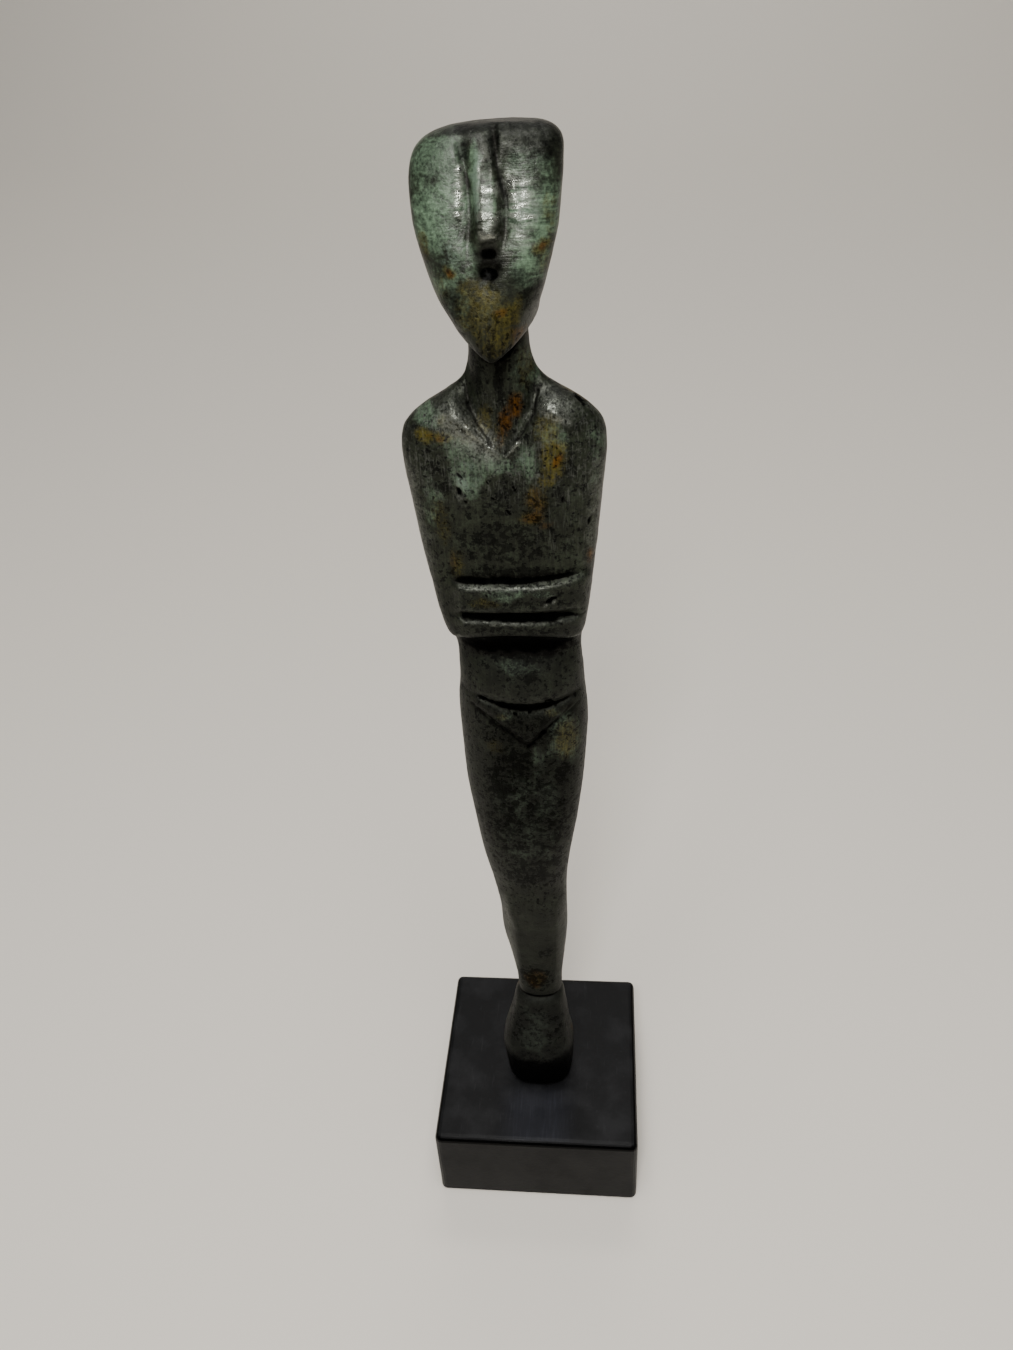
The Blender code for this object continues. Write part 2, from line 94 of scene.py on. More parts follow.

# Levels between which a finish goes from none to full; some of them bound the painted shade.
SOLES_UP = (0.0, 2.0)
TOES_DOWN = (15.0, 8.5)
ANKLES_DOWN = (34.0, 24.0)
SHINS_DOWN = (68.0, 52.0)
KNEES_UP = (76.0, 90.0)
HIPS_DOWN = (124.0, 116.0)
BELLY_DOWN = (124.0, 121.0)
ARMS_DOWN = (152.0, 130.0)
FOREARMS_UP = (146.0, 156.0)
RIBS_UP = (149.0, 154.0)
CHEST_UP = (158.0, 166.0)
SHOULDERS_UP = (166.0, 170.0)
NECK_DOWN = (182.0, 177.0)
HEAD = (188.0, 199.0)
CHEEKS_UP = (196.0, 204.0)
BROW_UP = (207.0, 213.0)
CROWN_UP = (214.5, 216.5)
CROWN_TOP = (216.0, 217.2)

# Places across the figure between which it does.
FACE_RIGHT = (-3.0, 4.0)
CHEST_RIGHT = (2.0, 8.0)
THIGHS_RIGHT = (-9.0, -3.0)

# Patches as x, z, half width and half height, and where their edges start and end,
# as shares of those halves.
NOSE_FLANK = (-3.2, 210.0, 2.0, 9.0)
NECK_V = (0.0, 175.0, 7.0, 6.0)
SOFT_EDGE = (1.3, 0.7)
PATCH_EDGE = (1.35, 0.35)

# Carved channels beside the nose, from the brow down: x, z, width, depth.
LEFT_CHANNEL = (
    (-5.0, 219.6, 1.3, 0.00),
    (-4.6, 217.6, 1.2, 0.20),
    (-4.4, 215.4, 0.9, 0.32),
    (-4.0, 213.7, 0.7, 0.34),
    (-3.65, 212.3, 0.6, 0.34),
    (-3.4, 209.3, 0.6, 0.34),
    (-3.2, 206.4, 0.65, 0.32),
    (-3.4, 204.4, 0.8, 0.26),
    (-3.7, 202.4, 0.9, 0.16),
    (-4.1, 200.2, 0.9, 0.00),
)
RIGHT_CHANNEL = (
    (0.1, 219.4, 0.8, 0.00),
    (0.4, 217.6, 0.7, 0.20),
    (0.6, 216.4, 0.55, 0.34),
    (0.9, 214.7, 0.45, 0.42),
    (1.2, 212.3, 0.42, 0.42),
    (1.6, 210.6, 0.42, 0.42),
    (2.0, 209.2, 0.42, 0.40),
    (2.1, 208.0, 0.50, 0.36),
    (2.0, 206.6, 0.60, 0.34),
    (1.8, 204.6, 0.75, 0.30),
    (1.3, 202.8, 0.90, 0.14),
    (1.1, 201.4, 0.90, 0.00),
)

# Each channel's outer side, where its wall is steeper, and how dark it is painted.
CHANNELS = (
    (LEFT_CHANNEL, -1, 0.28),
    (RIGHT_CHANNEL, 1, 0.46),
)

# Reach of a channel's two walls in its widths, and the depth at which it gets its full painted darkness.
STEEP_WALL = 0.62
EASY_WALL = 1.25
DEEPEST = 0.42

# Ridges and cuts along short lines on the front: x, z, x, z, width, lift. Cuts are also painted darker, the
# deeper for their width.
STROKES = (
    # Edge and waves of the nose's flat front.
    (-1.9, 213.0, -2.0, 205.0, 0.30, 0.12),
    (-1.3, 212.0, -1.4, 205.0, 0.50, 0.08),
    (0.6, 212.0, 0.7, 205.0, 0.50, 0.12),
    (-1.4, 208.7, 0.9, 208.5, 0.60, -0.06),
    (-1.2, 205.9, 0.8, 205.7, 0.45, -0.06),
    # Edges of the V under the neck, and the hollow and the bump beside it.
    (-8.8, 176.8, -6.0, 174.0, 0.90, 0.22),
    (-6.0, 174.0, -1.5, 169.6, 0.65, 0.26),
    # Dark cuts along the V's creases, painted shade that dims the light caught on them.
    (-5.0, 173.6, -2.4, 171.0, 0.25, -0.08),
    (-7.8, 174.6, -5.4, 172.2, 0.25, -0.07),
    (-6.6, 180.2, -6.3, 177.7, 0.36, -0.12),
    (-6.3, 177.7, -4.6, 174.5, 0.36, -0.14),
    (-4.6, 174.5, -2.5, 171.4, 0.30, -0.11),
    (5.5, 179.6, 4.4, 176.2, 0.38, -0.15),
    (4.4, 176.2, 1.8, 172.0, 0.36, -0.14),
    (-0.2, 169.3, 1.8, 171.6, 0.30, 0.26),
    (2.6, 172.8, 4.8, 176.6, 1.30, -0.20),
    (5.4, 177.8, 8.2, 176.2, 0.90, 0.42),
    (8.2, 176.2, 10.6, 175.0, 0.80, 0.16),
    # Lips of the two forearms.
    (-9.8, 145.2, 3.0, 145.2, 0.30, 0.10),
    (3.0, 145.2, 12.6, 146.0, 0.26, 0.10),
    (-9.4, 139.0, -2.0, 138.9, 0.42, -0.20),
    (-2.0, 138.9, 7.4, 138.9, 0.68, -0.36),
    (7.4, 139.1, 12.4, 138.9, 0.36, -0.12),
    (-11.2, 135.0, -6.0, 133.7, 0.30, 0.10),
    (-6.0, 133.7, 5.0, 133.6, 0.30, 0.10),
    (5.0, 133.6, 11.0, 134.4, 0.30, 0.10),
    (-8.0, 148.0, 9.6, 148.2, 1.80, -0.08),
    # Belly fold, a crescent, and the two lines under it.
    (-7.6, 121.0, -3.4, 119.6, 0.42, -0.13),
    (-3.4, 119.6, 1.0, 118.9, 0.90, -0.36),
    (1.0, 118.9, 5.6, 119.5, 0.90, -0.36),
    (5.6, 119.5, 10.6, 120.4, 0.34, -0.09),
    (-9.3, 119.2, -5.8, 115.8, 0.40, -0.15),
    (-5.8, 115.8, -1.9, 112.8, 0.36, -0.16),
    (-1.9, 112.8, 1.4, 109.8, 0.40, -0.18),
    (1.4, 109.8, 4.6, 113.2, 0.52, -0.24),
    (4.6, 113.2, 9.8, 118.9, 0.42, -0.16),
    # Facets of the shins.
    (-5.6, 64.0, -3.4, 55.0, 0.90, 0.16),
    (-3.4, 55.0, -3.6, 36.0, 0.90, 0.16),
    (6.0, 62.0, 5.0, 36.0, 0.90, 0.12),
    # Bevelled rims of the instep.
    (-4.4, 26.6, -6.6, 14.6, 0.60, 0.14),
    (5.6, 26.6, 6.9, 14.6, 0.60, 0.14),
)

# Places painted bright, partly metal rubbed bare and mostly painted highlights where light catches: x, z, x,
# z, width, strength.
RUBBED_AND_HIGHLIGHTS = (
    # Painted highlights on the nose and the cheeks beside it.
    (-1.7, 212.6, -1.8, 205.0, 0.20, 0.36),
    (-0.4, 210.2, -0.3, 204.6, 0.85, 0.24),
    (0.2, 212.3, 0.8, 212.4, 0.20, 0.80),
    (-1.4, 210.1, 0.9, 210.2, 0.50, 1.00),
    (-1.5, 208.9, -0.3, 208.8, 0.22, 0.80),
    (-1.4, 207.0, 0.9, 206.7, 0.62, 1.00),
    (-1.3, 204.7, 0.8, 204.4, 0.60, 1.00),
    (-4.5, 212.4, -4.6, 210.5, 0.46, 1.00),
    (-4.6, 210.5, -4.9, 206.6, 0.52, 1.00),
    (2.7, 211.2, 3.3, 206.4, 0.95, 1.00),
    (4.4, 210.0, 5.0, 206.4, 1.20, 0.74),
    (3.4, 205.4, 4.4, 203.4, 1.20, 0.40),
    # Scratches along the V and the stroke at its tip, with painted highlight on the chest beside the V and on
    # the bump.
    (-9.8, 176.7, -7.4, 173.8, 0.26, 0.70),
    (-8.8, 177.0, -6.6, 174.6, 0.22, 0.50),
    (-7.6, 175.4, -5.4, 173.0, 0.20, 0.60),
    (-7.0, 176.0, -4.6, 173.2, 0.24, 0.60),
    (-5.8, 174.8, -2.4, 171.0, 0.30, 0.76),
    (-5.6, 172.9, -2.1, 169.8, 0.26, 0.70),
    (-4.4, 172.4, -2.9, 170.8, 0.20, 0.90),
    (-9.0, 175.6, -3.0, 170.8, 2.10, 0.84),
    (-9.6, 174.6, -6.4, 172.6, 0.30, 0.50),
    (-10.4, 177.4, -8.4, 175.4, 0.26, 0.46),
    (0.8, 170.5, 1.8, 171.6, 0.30, 1.00),
    (-0.3, 169.4, 0.8, 170.5, 0.18, 0.95),
    (5.4, 176.8, 6.4, 177.6, 0.36, 1.00),
    (6.0, 176.6, 7.6, 175.9, 0.50, 1.00),
    (7.6, 175.9, 10.2, 174.8, 0.44, 0.95),
    (6.4, 178.0, 9.4, 176.6, 1.40, 0.70),
    (5.0, 166.0, 5.1, 166.1, 0.24, 0.90),
    # Painted highlights on the lips of the two forearms and the rim of the nick.
    (-9.6, 145.4, -3.4, 145.3, 0.32, 0.34),
    (-3.4, 145.3, -0.5, 145.4, 0.18, 0.38),
    (-0.5, 145.4, 4.2, 145.5, 0.16, 0.70),
    (4.2, 145.5, 8.0, 145.6, 0.13, 0.50),
    (8.0, 145.6, 12.6, 146.1, 0.12, 0.40),
    (-9.4, 138.2, -4.5, 138.2, 0.14, 0.44),
    (-4.5, 138.05, 5.4, 137.75, 0.16, 0.64),
    (7.9, 138.3, 11.0, 138.2, 0.12, 0.40),
    (-11.2, 135.0, -6.0, 133.7, 0.15, 0.46),
    (-6.0, 133.7, 5.0, 133.6, 0.15, 0.50),
    (5.0, 133.6, 11.0, 134.4, 0.15, 0.40),
    (6.9, 142.4, 7.5, 143.0, 0.18, 0.90),
    (5.3, 141.8, 6.2, 142.2, 0.13, 0.70),
    # Painted reflection on the left facet of the shins.
    (-5.7, 64.0, -5.0, 38.0, 0.85, 0.26),
)

# Blow holes of the casting and scars: x, z, x, z, radius, depth.
SCARS = (
    (-8.0, 166.3, -7.4, 166.1, 0.34, 0.42),
    (-8.4, 164.1, -8.1, 163.2, 0.40, 0.45),
    (-7.8, 161.4, -7.2, 161.7, 0.34, 0.32),
    (-3.6, 165.4, -3.4, 164.9, 0.24, 0.22),
    (-2.9, 162.4, -2.4, 162.0, 0.26, 0.22),
    (0.9, 164.2, 1.3, 163.6, 0.26, 0.22),
    (-0.3, 159.9, 0.1, 159.4, 0.24, 0.20),
    (5.0, 142.1, 5.7, 142.5, 0.20, 0.26),
    (5.9, 142.7, 6.5, 142.9, 0.46, 0.46),
    (6.7, 143.2, 7.5, 143.5, 0.26, 0.36),
    (2.8, 141.7, 3.1, 141.9, 0.20, 0.20),
    (-4.9, 144.1, -4.4, 143.8, 0.22, 0.20),
    (11.2, 178.0, 12.9, 176.6, 0.22, 0.30),
    (8.8, 162.2, 9.2, 161.6, 0.28, 0.26),
    (7.2, 162.5, 7.4, 162.3, 0.22, 0.20),
    (13.3, 156.8, 13.9, 158.0, 0.20, 0.22),
    (5.1, 120.3, 5.8, 120.5, 0.44, 0.24),
    (-0.9, 117.8, -0.6, 117.6, 0.26, 0.16),
    (1.9, 117.9, 2.2, 117.6, 0.24, 0.16),
    (1.6, 114.6, 2.1, 114.3, 0.26, 0.16),
    (-0.7, 205.6, -0.2, 205.5, 0.28, 0.20),
)

# Soft-edged hollows under the nose, painted dark as shadow under the nose and in the mouth, the first with no
# depth at all: x, z, half width, half height, depth, darkness.
HOLLOWS = (
    (-0.8, 203.2, 1.8, 0.8, 0.00, 0.30),
    (-0.7, 201.9, 1.7, 0.95, 0.24, 0.90),
    (-0.8, 200.6, 2.0, 2.0, 0.10, 0.50),
    (-0.8, 199.15, 1.8, 1.15, 0.16, 0.97),
)

# Patina laid on the front in patches: x, z, half width, half height, strength. Some soot patches are painted
# shadow: under the nose, under the chin, above and under the forearms and on the toes.
PATINA = {
    "verdigris": (
        (-7.6, 207.0, 5.0, 6.4, 0.80),
        (-7.8, 213.4, 4.8, 4.8, 0.66),
        (-5.0, 207.0, 2.0, 7.0, 0.66),
        (-5.8, 213.0, 1.8, 3.6, 0.82),
        (-6.8, 202.4, 4.0, 4.4, 0.52),
        (-2.5, 212.6, 0.8, 4.4, 0.86),
        (-0.6, 208.4, 1.5, 4.0, 0.44),
        (5.6, 212.6, 3.6, 3.0, 0.38),
        (-5.4, 194.8, 2.0, 3.4, 0.34),
        (7.4, 206.4, 2.6, 4.4, 0.92),
        (4.4, 207.6, 2.6, 4.0, 0.80),
        (5.4, 201.0, 3.4, 4.0, 0.60),
        (-7.4, 197.4, 2.6, 4.6, 0.44),
        (-12.8, 176.0, 2.8, 1.8, 0.72),
        (-7.0, 166.6, 3.4, 2.8, 0.86),
        (-4.6, 168.6, 3.4, 2.2, 0.82),
        (-6.6, 163.8, 2.0, 1.4, 0.84),
        (-7.4, 171.4, 3.0, 2.4, 0.56),
        (0.2, 168.0, 3.0, 1.8, 0.74),
        (3.3, 168.6, 2.0, 3.2, 0.78),
        (7.4, 172.6, 2.6, 3.0, 0.60),
        (15.0, 171.2, 1.8, 3.6, 0.36),
        (14.6, 163.0, 1.4, 5.0, 0.18),
        (3.2, 182.4, 2.4, 5.0, 0.32),
        (-13.0, 162.0, 2.0, 6.0, 0.42),
        (-1.0, 144.1, 4.2, 1.0, 0.62),
        (5.4, 144.2, 2.8, 0.9, 0.58),
        (0.3, 128.1, 4.2, 1.6, 0.50),
        (8.6, 111.0, 3.4, 6.0, 0.80),
        (6.2, 118.0, 1.6, 1.0, 0.50),
        (-3.4, 117.2, 2.0, 1.0, 0.44),
        (3.2, 105.6, 1.6, 4.4, 0.46),
        (1.0, 95.0, 6.6, 8.0, 0.34),
        (0.4, 84.0, 6.0, 7.0, 0.32),
        (-0.2, 20.0, 4.2, 6.0, 0.40),
    ),
    "bloom": (
        (-2.35, 210.8, 0.5, 4.8, 0.90),
        (-6.6, 201.8, 2.2, 1.8, 0.34),
        (4.8, 207.4, 2.4, 2.2, 0.40),
        (-7.6, 165.0, 1.3, 1.6, 0.70),
        (-5.6, 165.4, 1.4, 1.2, 0.44),
        (-6.4, 168.2, 1.8, 0.9, 0.44),
        (2.2, 169.6, 1.6, 1.0, 0.44),
    ),
    "gold": (
        (1.6, 193.4, 2.8, 2.2, 0.95),
        (3.4, 194.6, 1.6, 1.6, 0.66),
        (-1.8, 195.8, 3.8, 2.4, 0.62),
        (-4.0, 197.4, 2.0, 1.8, 0.56),
        (-4.4, 193.8, 2.0, 3.2, 0.52),
        (-8.0, 197.0, 1.6, 3.4, 0.40),
        (0.2, 190.4, 3.0, 3.0, 0.74),
        (-2.6, 192.6, 2.2, 3.4, 0.56),
        (3.2, 183.4, 1.8, 4.6, 0.40),
        (6.8, 202.1, 1.2, 1.4, 0.85),
        (7.2, 199.8, 1.4, 1.4, 0.62),
        (8.2, 206.4, 1.4, 4.0, 0.44),
        (-10.2, 203.3, 1.2, 2.4, 0.62),
        (-6.9, 199.7, 1.2, 0.9, 0.74),
        (-13.4, 173.2, 1.9, 1.4, 0.95),
        (-10.6, 172.8, 2.6, 1.1, 0.84),
        (-9.8, 175.6, 1.6, 1.4, 0.46),
        (-6.2, 173.4, 3.4, 2.6, 0.38),
        (-3.3, 175.2, 1.5, 3.0, 0.66),
        (-1.4, 172.4, 1.6, 2.6, 0.66),
        (6.8, 173.8, 2.7, 2.8, 0.70),
        (7.8, 170.2, 2.6, 2.8, 0.84),
        (8.0, 167.6, 2.3, 2.5, 0.95),
        (6.9, 165.4, 1.9, 1.3, 0.85),
        (4.6, 161.8, 2.4, 3.2, 0.58),
        (3.4, 158.6, 2.6, 1.6, 0.52),
        (-12.0, 158.0, 2.0, 6.0, 0.36),
        (-9.6, 149.6, 1.8, 4.0, 0.42),
        (-5.4, 142.4, 3.0, 1.1, 0.60),
        (-3.4, 117.2, 2.0, 1.0, 0.58),
        (6.2, 118.0, 1.6, 1.0, 0.58),
        (8.8, 110.8, 3.0, 5.4, 0.82),
        (-5.0, 109.6, 2.6, 2.6, 0.40),
        (0.0, 35.0, 3.2, 3.6, 0.50),
    ),
    "rust": (
        (1.6, 177.6, 1.7, 2.0, 1.00),
        (0.0, 174.8, 1.4, 2.8, 0.98),
        (-1.0, 172.0, 1.0, 1.6, 0.90),
        (6.9, 202.0, 0.6, 0.7, 0.74),
        (-7.0, 199.7, 0.8, 0.6, 0.80),
        (0.6, 193.8, 1.8, 0.8, 0.36),
        (2.6, 190.6, 0.8, 1.6, 0.44),
        (-12.8, 173.0, 0.8, 0.4, 0.60),
        (-11.0, 172.7, 1.2, 0.4, 0.56),
        (8.8, 168.6, 0.8, 1.4, 0.70),
        (8.2, 171.2, 0.6, 0.8, 0.56),
        (4.2, 158.6, 2.4, 1.2, 0.50),
        (4.8, 161.4, 2.6, 3.2, 0.36),
        (6.2, 157.2, 1.8, 0.9, 0.38),
        (13.6, 150.0, 0.9, 2.2, 0.62),
        (-10.2, 149.6, 1.4, 3.6, 0.24),
        (3.4, 189.6, 2.0, 2.0, 0.36),
        (0.0, 35.2, 2.9, 3.8, 0.48),
    ),
    "soot": (
        (5.2, 215.4, 5.4, 3.2, 0.66),
        (8.6, 211.6, 2.8, 3.4, 0.20),
        (4.4, 213.0, 2.6, 2.0, 0.42),
        (0.2, 216.0, 1.5, 2.2, 0.84),
        (-0.5, 213.4, 1.3, 2.6, 0.56),
        (-4.1, 214.6, 1.0, 1.6, 0.84),
        # Painted shadow under the nose and in the mouth.
        (-0.8, 200.5, 2.9, 3.0, 0.66),
        (-0.9, 197.6, 2.4, 1.0, 0.50),
        (5.4, 196.2, 2.0, 3.4, 0.60),
        (3.2, 199.0, 2.0, 2.0, 0.50),
        (-6.6, 194.6, 2.6, 3.0, 0.64),
        (-7.8, 213.8, 4.4, 3.8, 0.36),
        (-5.6, 213.6, 1.8, 3.2, 0.52),
        (-1.8, 173.2, 1.6, 2.4, 0.46),
        # Painted shadow under the chin.
        (-0.4, 187.4, 4.0, 2.2, 0.60),
        (9.6, 178.8, 4.0, 1.4, 0.50),
        (-12.4, 168.2, 3.0, 3.0, 0.52),
        (-11.0, 165.6, 2.6, 3.0, 0.50),
        (-0.8, 184.0, 1.0, 9.0, 0.90),
        (-4.0, 184.0, 2.0, 6.0, 0.50),
        (-0.6, 163.2, 4.0, 2.4, 0.46),
        (-1.6, 160.8, 3.4, 2.2, 0.46),
        (10.6, 168.0, 1.2, 4.0, 0.60),
        (8.4, 162.6, 2.0, 1.6, 0.56),
        (4.6, 160.4, 3.4, 3.0, 0.46),
        (0.0, 153.6, 12.0, 5.0, 0.54),
        # Painted shadow above the forearms.
        (1.0, 148.0, 9.0, 1.8, 0.84),
        (1.0, 142.0, 13.0, 1.6, 0.46),
        (0.0, 136.2, 13.0, 1.8, 0.52),
        # Painted shadow under the arms.
        (0.8, 131.4, 11.0, 2.2, 1.00),
        (0.4, 127.4, 4.4, 3.0, 0.66),
        (1.0, 144.6, 12.0, 0.7, 0.50),
        (0.5, 114.0, 12.0, 5.0, 0.42),
        (-1.4, 104.6, 4.0, 5.4, 0.80),
        (1.0, 107.6, 2.0, 1.6, 0.86),
        (-5.0, 98.0, 4.0, 9.0, 0.62),
        (2.1, 92.4, 1.5, 1.4, 0.92),
        (5.1, 88.3, 1.3, 1.3, 0.92),
        (-2.0, 87.0, 1.6, 1.2, 0.80),
        (7.4, 102.0, 2.2, 3.0, 0.80),
        (0.5, 90.0, 12.0, 16.0, 0.50),
        (1.4, 73.6, 7.6, 5.6, 0.72),
        (5.6, 76.6, 2.2, 2.4, 0.84),
        (2.8, 45.6, 2.4, 2.2, 0.66),
        (0.0, 35.0, 5.0, 4.8, 0.72),
        (0.0, 20.0, 9.0, 8.0, 0.40),
        # Painted shadow on the front of the toes.
        (0.0, 5.4, 9.0, 7.8, 1.00),
    ),
}


def colour(name, default, description):
    """A colour that can be picked in the panel."""
    return bpy.props.FloatVectorProperty(
        name=name, description=description, default=default, size=3, min=0.0, max=1.0, subtype="COLOR"
    )


def length(name, default, description):
    """A length in metres."""
    return bpy.props.FloatProperty(
        name=name, description=description, default=default, min=0.0, unit="LENGTH", precision=5
    )


def share(name, default, description):
    """A share from 0 to 1."""
    return bpy.props.FloatProperty(
        name=name, description=description, default=default, min=0.0, max=1.0, subtype="FACTOR"
    )


def power(name, default, description):
    """A light's power in watts."""
    return bpy.props.FloatProperty(
        name=name, description=description, default=default, min=0.0, unit="POWER"
    )


def turn(name, degrees, description):
    """An angle, given in degrees."""
    return bpy.props.FloatProperty(
        name=name, description=description, default=math.radians(degrees), unit="ROTATION"
    )


class BronzeSettings(bpy.types.PropertyGroup):
    """The casting's surface and its patina."""

    metal: colour("Metal", (0.0096, 0.0116, 0.0070), "Brown-olive ground of the patina")
    # This colour is also used for the painted highlights on the nose, cheeks, lips and facets.
    worn_and_highlight: colour("Worn metal", (0.33, 0.35, 0.31), "Metal rubbed bare on edges")
    verdigris: colour("Verdigris", (0.082, 0.128, 0.082), "Green copper patina")
    bloom: colour("Bloom", (0.125, 0.178, 0.135), "Pale green bloom on the copper patina")
    gold: colour("Gold", (0.066, 0.056, 0.007), "Olive-gold chemical patina")
    rust: colour("Rust", (0.098, 0.039, 0.0030), "Orange-brown patina")
    # This black is also the colour of the painted shade under the arms, toward the feet, on the thighs and
    # toes, and in the cuts.
    soot: colour("Soot", (0.0032, 0.0034, 0.0032), "Black left in hollows and on shaded fields")
    unevenness: length("Unevenness", 0.00009, "Height of the hand-worked unevenness")
    grain: length("Grain", 0.00010, "Height of the casting grain")
    file_marks: length("File marks", 0.00008, "Height of the file marks")
    ripples: length("Ripples", 0.00018, "Height of the ripples on the polished nose and cheeks")
    polish: share("Polish", 0.33, "Roughness of the waxed surface")


class StoneSettings(bpy.types.PropertyGroup):
    """The block's stone."""

    stone: colour("Stone", (0.0044, 0.0046, 0.0052), "Colour of the honed stone")
    # This colour, made bluer, is also the painted reflection before the toes.
    scuff_and_reflection: colour("Scuff", (0.0250, 0.0254, 0.0275), "Colour of dust and fine scuffs")
    hone: share("Hone", 0.36, "Roughness of the honed faces")


class StageSettings(bpy.types.PropertyGroup):
    """Floor, lights and camera."""

    floor: colour("Floor", (0.80, 0.76, 0.69), "Colour of the plain floor")
    key_power: power("Key power", 1.0, "Power of the soft light above")
    ceiling_power: power("Ceiling power", 17.0, "Power of the wide light overhead")
    backdrop_power: power("Backdrop power", 36.0, "Power of the light on the backdrop")
    key_size: length("Key size", 0.06, "Side of the soft light above")
    room: bpy.props.FloatProperty(
        name="Room light", description="Strength of the even light all round", default=0.12, min=0.0
    )
    focal_length: bpy.props.FloatProperty(
        name="Focal length", description="Camera focal length", default=27.12, min=1.0, unit="CAMERA"
    )
    pitch: turn("Pitch", 34.74, "How far the camera looks down")
    yaw: turn("Yaw", 6.61, "How far the camera turns left")
    roll: turn("Roll", -3.48, "How far the camera leans")


class Value:
    """A number socket that can be used in plain arithmetic."""

    def __init__(self, shader, socket):
        self.shader = shader
        self.socket = socket

    def math(self, operation, *others):
        sockets = dict(enumerate((self,) + others))
        return self.shader.node("ShaderNodeMath", {"operation": operation}, sockets)

    def __add__(self, other):
        return self.math("ADD", other)

    def __mul__(self, other):
        return self.math("MULTIPLY", other)

    def __sub__(self, other):
        return self.math("SUBTRACT", other)

    def __rsub__(self, other):
        return self.math("MULTIPLY_ADD", -1.0, other)

    __radd__ = __add__
    __rmul__ = __mul__

    def clamped(self):
        return self.math("MAXIMUM", 0.0).math("MINIMUM", 1.0)

    def rise(self, low, high):
        """Smooth step from 0 at low to 1 at high; high may be the smaller."""
        if low > high:
            return 1.0 - self.rise(high, low)
        sockets = {"Value": self, "From Min": low, "From Max": high}
        return self.shader.node("ShaderNodeMapRange", {"interpolation_type": "SMOOTHSTEP"}, sockets)


class Shader:
    """A material's node tree, built one node at a time."""

    def __init__(self, name):
        self.material = bpy.data.materials.new(name)
        self.material.use_nodes = True
        self.tree = self.material.node_tree
        self.place = self.node("ShaderNodeTexCoord", output="Object")

    def node(self, kind, settings=(), sockets=(), output=0):
        """Make a node: its settings first, then its socket values or links."""
        made = self.tree.nodes.new(kind)
        for name, value in dict(settings).items():
            setattr(made, name, value)
        for key, value in dict(sockets).items():
            self.feed(made.inputs[key], value)
        return Value(self, made.outputs[output])

    def feed(self, socket, value):
        """Link a value to a socket, or set a plain number or colour on it."""
        if isinstance(value, Value):
            self.tree.links.new(value.socket, socket)
        elif hasattr(socket.default_value, "__len__") and len(socket.default_value) == 4:
            socket.default_value = (*value, 1.0)
        else:
            socket.default_value = value

    def surfaced(self, sockets):
        """Feed the surface's sockets and give back the finished material."""
        surface = self.tree.nodes["Principled BSDF"]
        for name, value in sockets.items():
            self.feed(surface.inputs[name], value)
        return self.material

    def mix(self, factor, first, second):
        """Blend two colours."""
        sockets = {MIX_FACTOR: factor, MIX_FIRST: first, MIX_SECOND: second}
        return self.node("ShaderNodeMix", {"data_type": "RGBA"}, sockets, MIX_RESULT)

    def attribute(self, name):
        """A number painted on the mesh."""
        return self.node("ShaderNodeAttribute", {"attribute_name": name}, output="Fac")

    def along(self, axis):
        """The place on the piece along one axis."""
        return self.node("ShaderNodeSeparateXYZ", {}, {0: self.place}, axis)

    def scaled(self, scale):
        """The place on the piece, stretched along its axes."""
        return self.node("ShaderNodeVectorMath", {"operation": "MULTIPLY"}, {0: self.place, 1: scale})

    def shifted(self, offset):
        """The place on the piece, moved aside to give other noise."""
        sockets = {0: self.place, 1: (offset, offset, offset)}
        return self.node("ShaderNodeVectorMath", {"operation": "ADD"}, sockets)

    def cloud(self, size, detail=4.0, roughness=0.55, place=None):
        """Noise whose blotches are about size metres across."""
        sockets = {
            "Vector": place or self.place,
            "Scale": 1.0 / size,
            "Detail": detail,
            "Roughness": roughness,
        }
        return self.node("ShaderNodeTexNoise", {}, sockets)

    def strokes(self, scale, lean):
        """Noise drawn out into marks that lean by an angle in the front's plane."""
        sockets = {"Vector": self.place, "Rotation": (0.0, lean, 0.0), "Scale": scale}
        return self.cloud(1.0, 3.0, 0.6, self.node("ShaderNodeMapping", {}, sockets))

    def pits(self, spacing, radius, kept):
        """Small round pits: 1 inside a pit, in the share kept of the cells."""
        sockets = {"Vector": self.place, "Scale": 1.0 / spacing}
        distance = self.node("ShaderNodeTexVoronoi", {}, sockets, "Distance")
        tint = Value(self, distance.socket.node.outputs["Color"])
        chance = self.node("ShaderNodeSeparateColor", {}, {0: tint})
        return distance.rise(radius / spacing, 0.4 * radius / spacing) * chance.rise(kept, kept - 0.02)

    def bump(self, height):
        """Bend the shading by a height in metres."""
        return self.node("ShaderNodeBump", {}, {"Height": height, "Strength": 1.0, "Distance": 1.0})


def times(tint, *factors):
    """A colour made lighter or darker, by one factor or by one for each channel."""
    factors = factors if len(factors) == 3 else factors * 3
    return [factor * channel for factor, channel in zip(factors, tint)]


def worn_through(coat, texture, contrast, softness):
    """Cover of a coat that is worn through in the texture's low spots, 0 to 1."""
    return (coat + contrast * (texture - 0.5)).rise(0.5 - softness, 0.5 + softness) * coat.rise(0.02, 0.3)


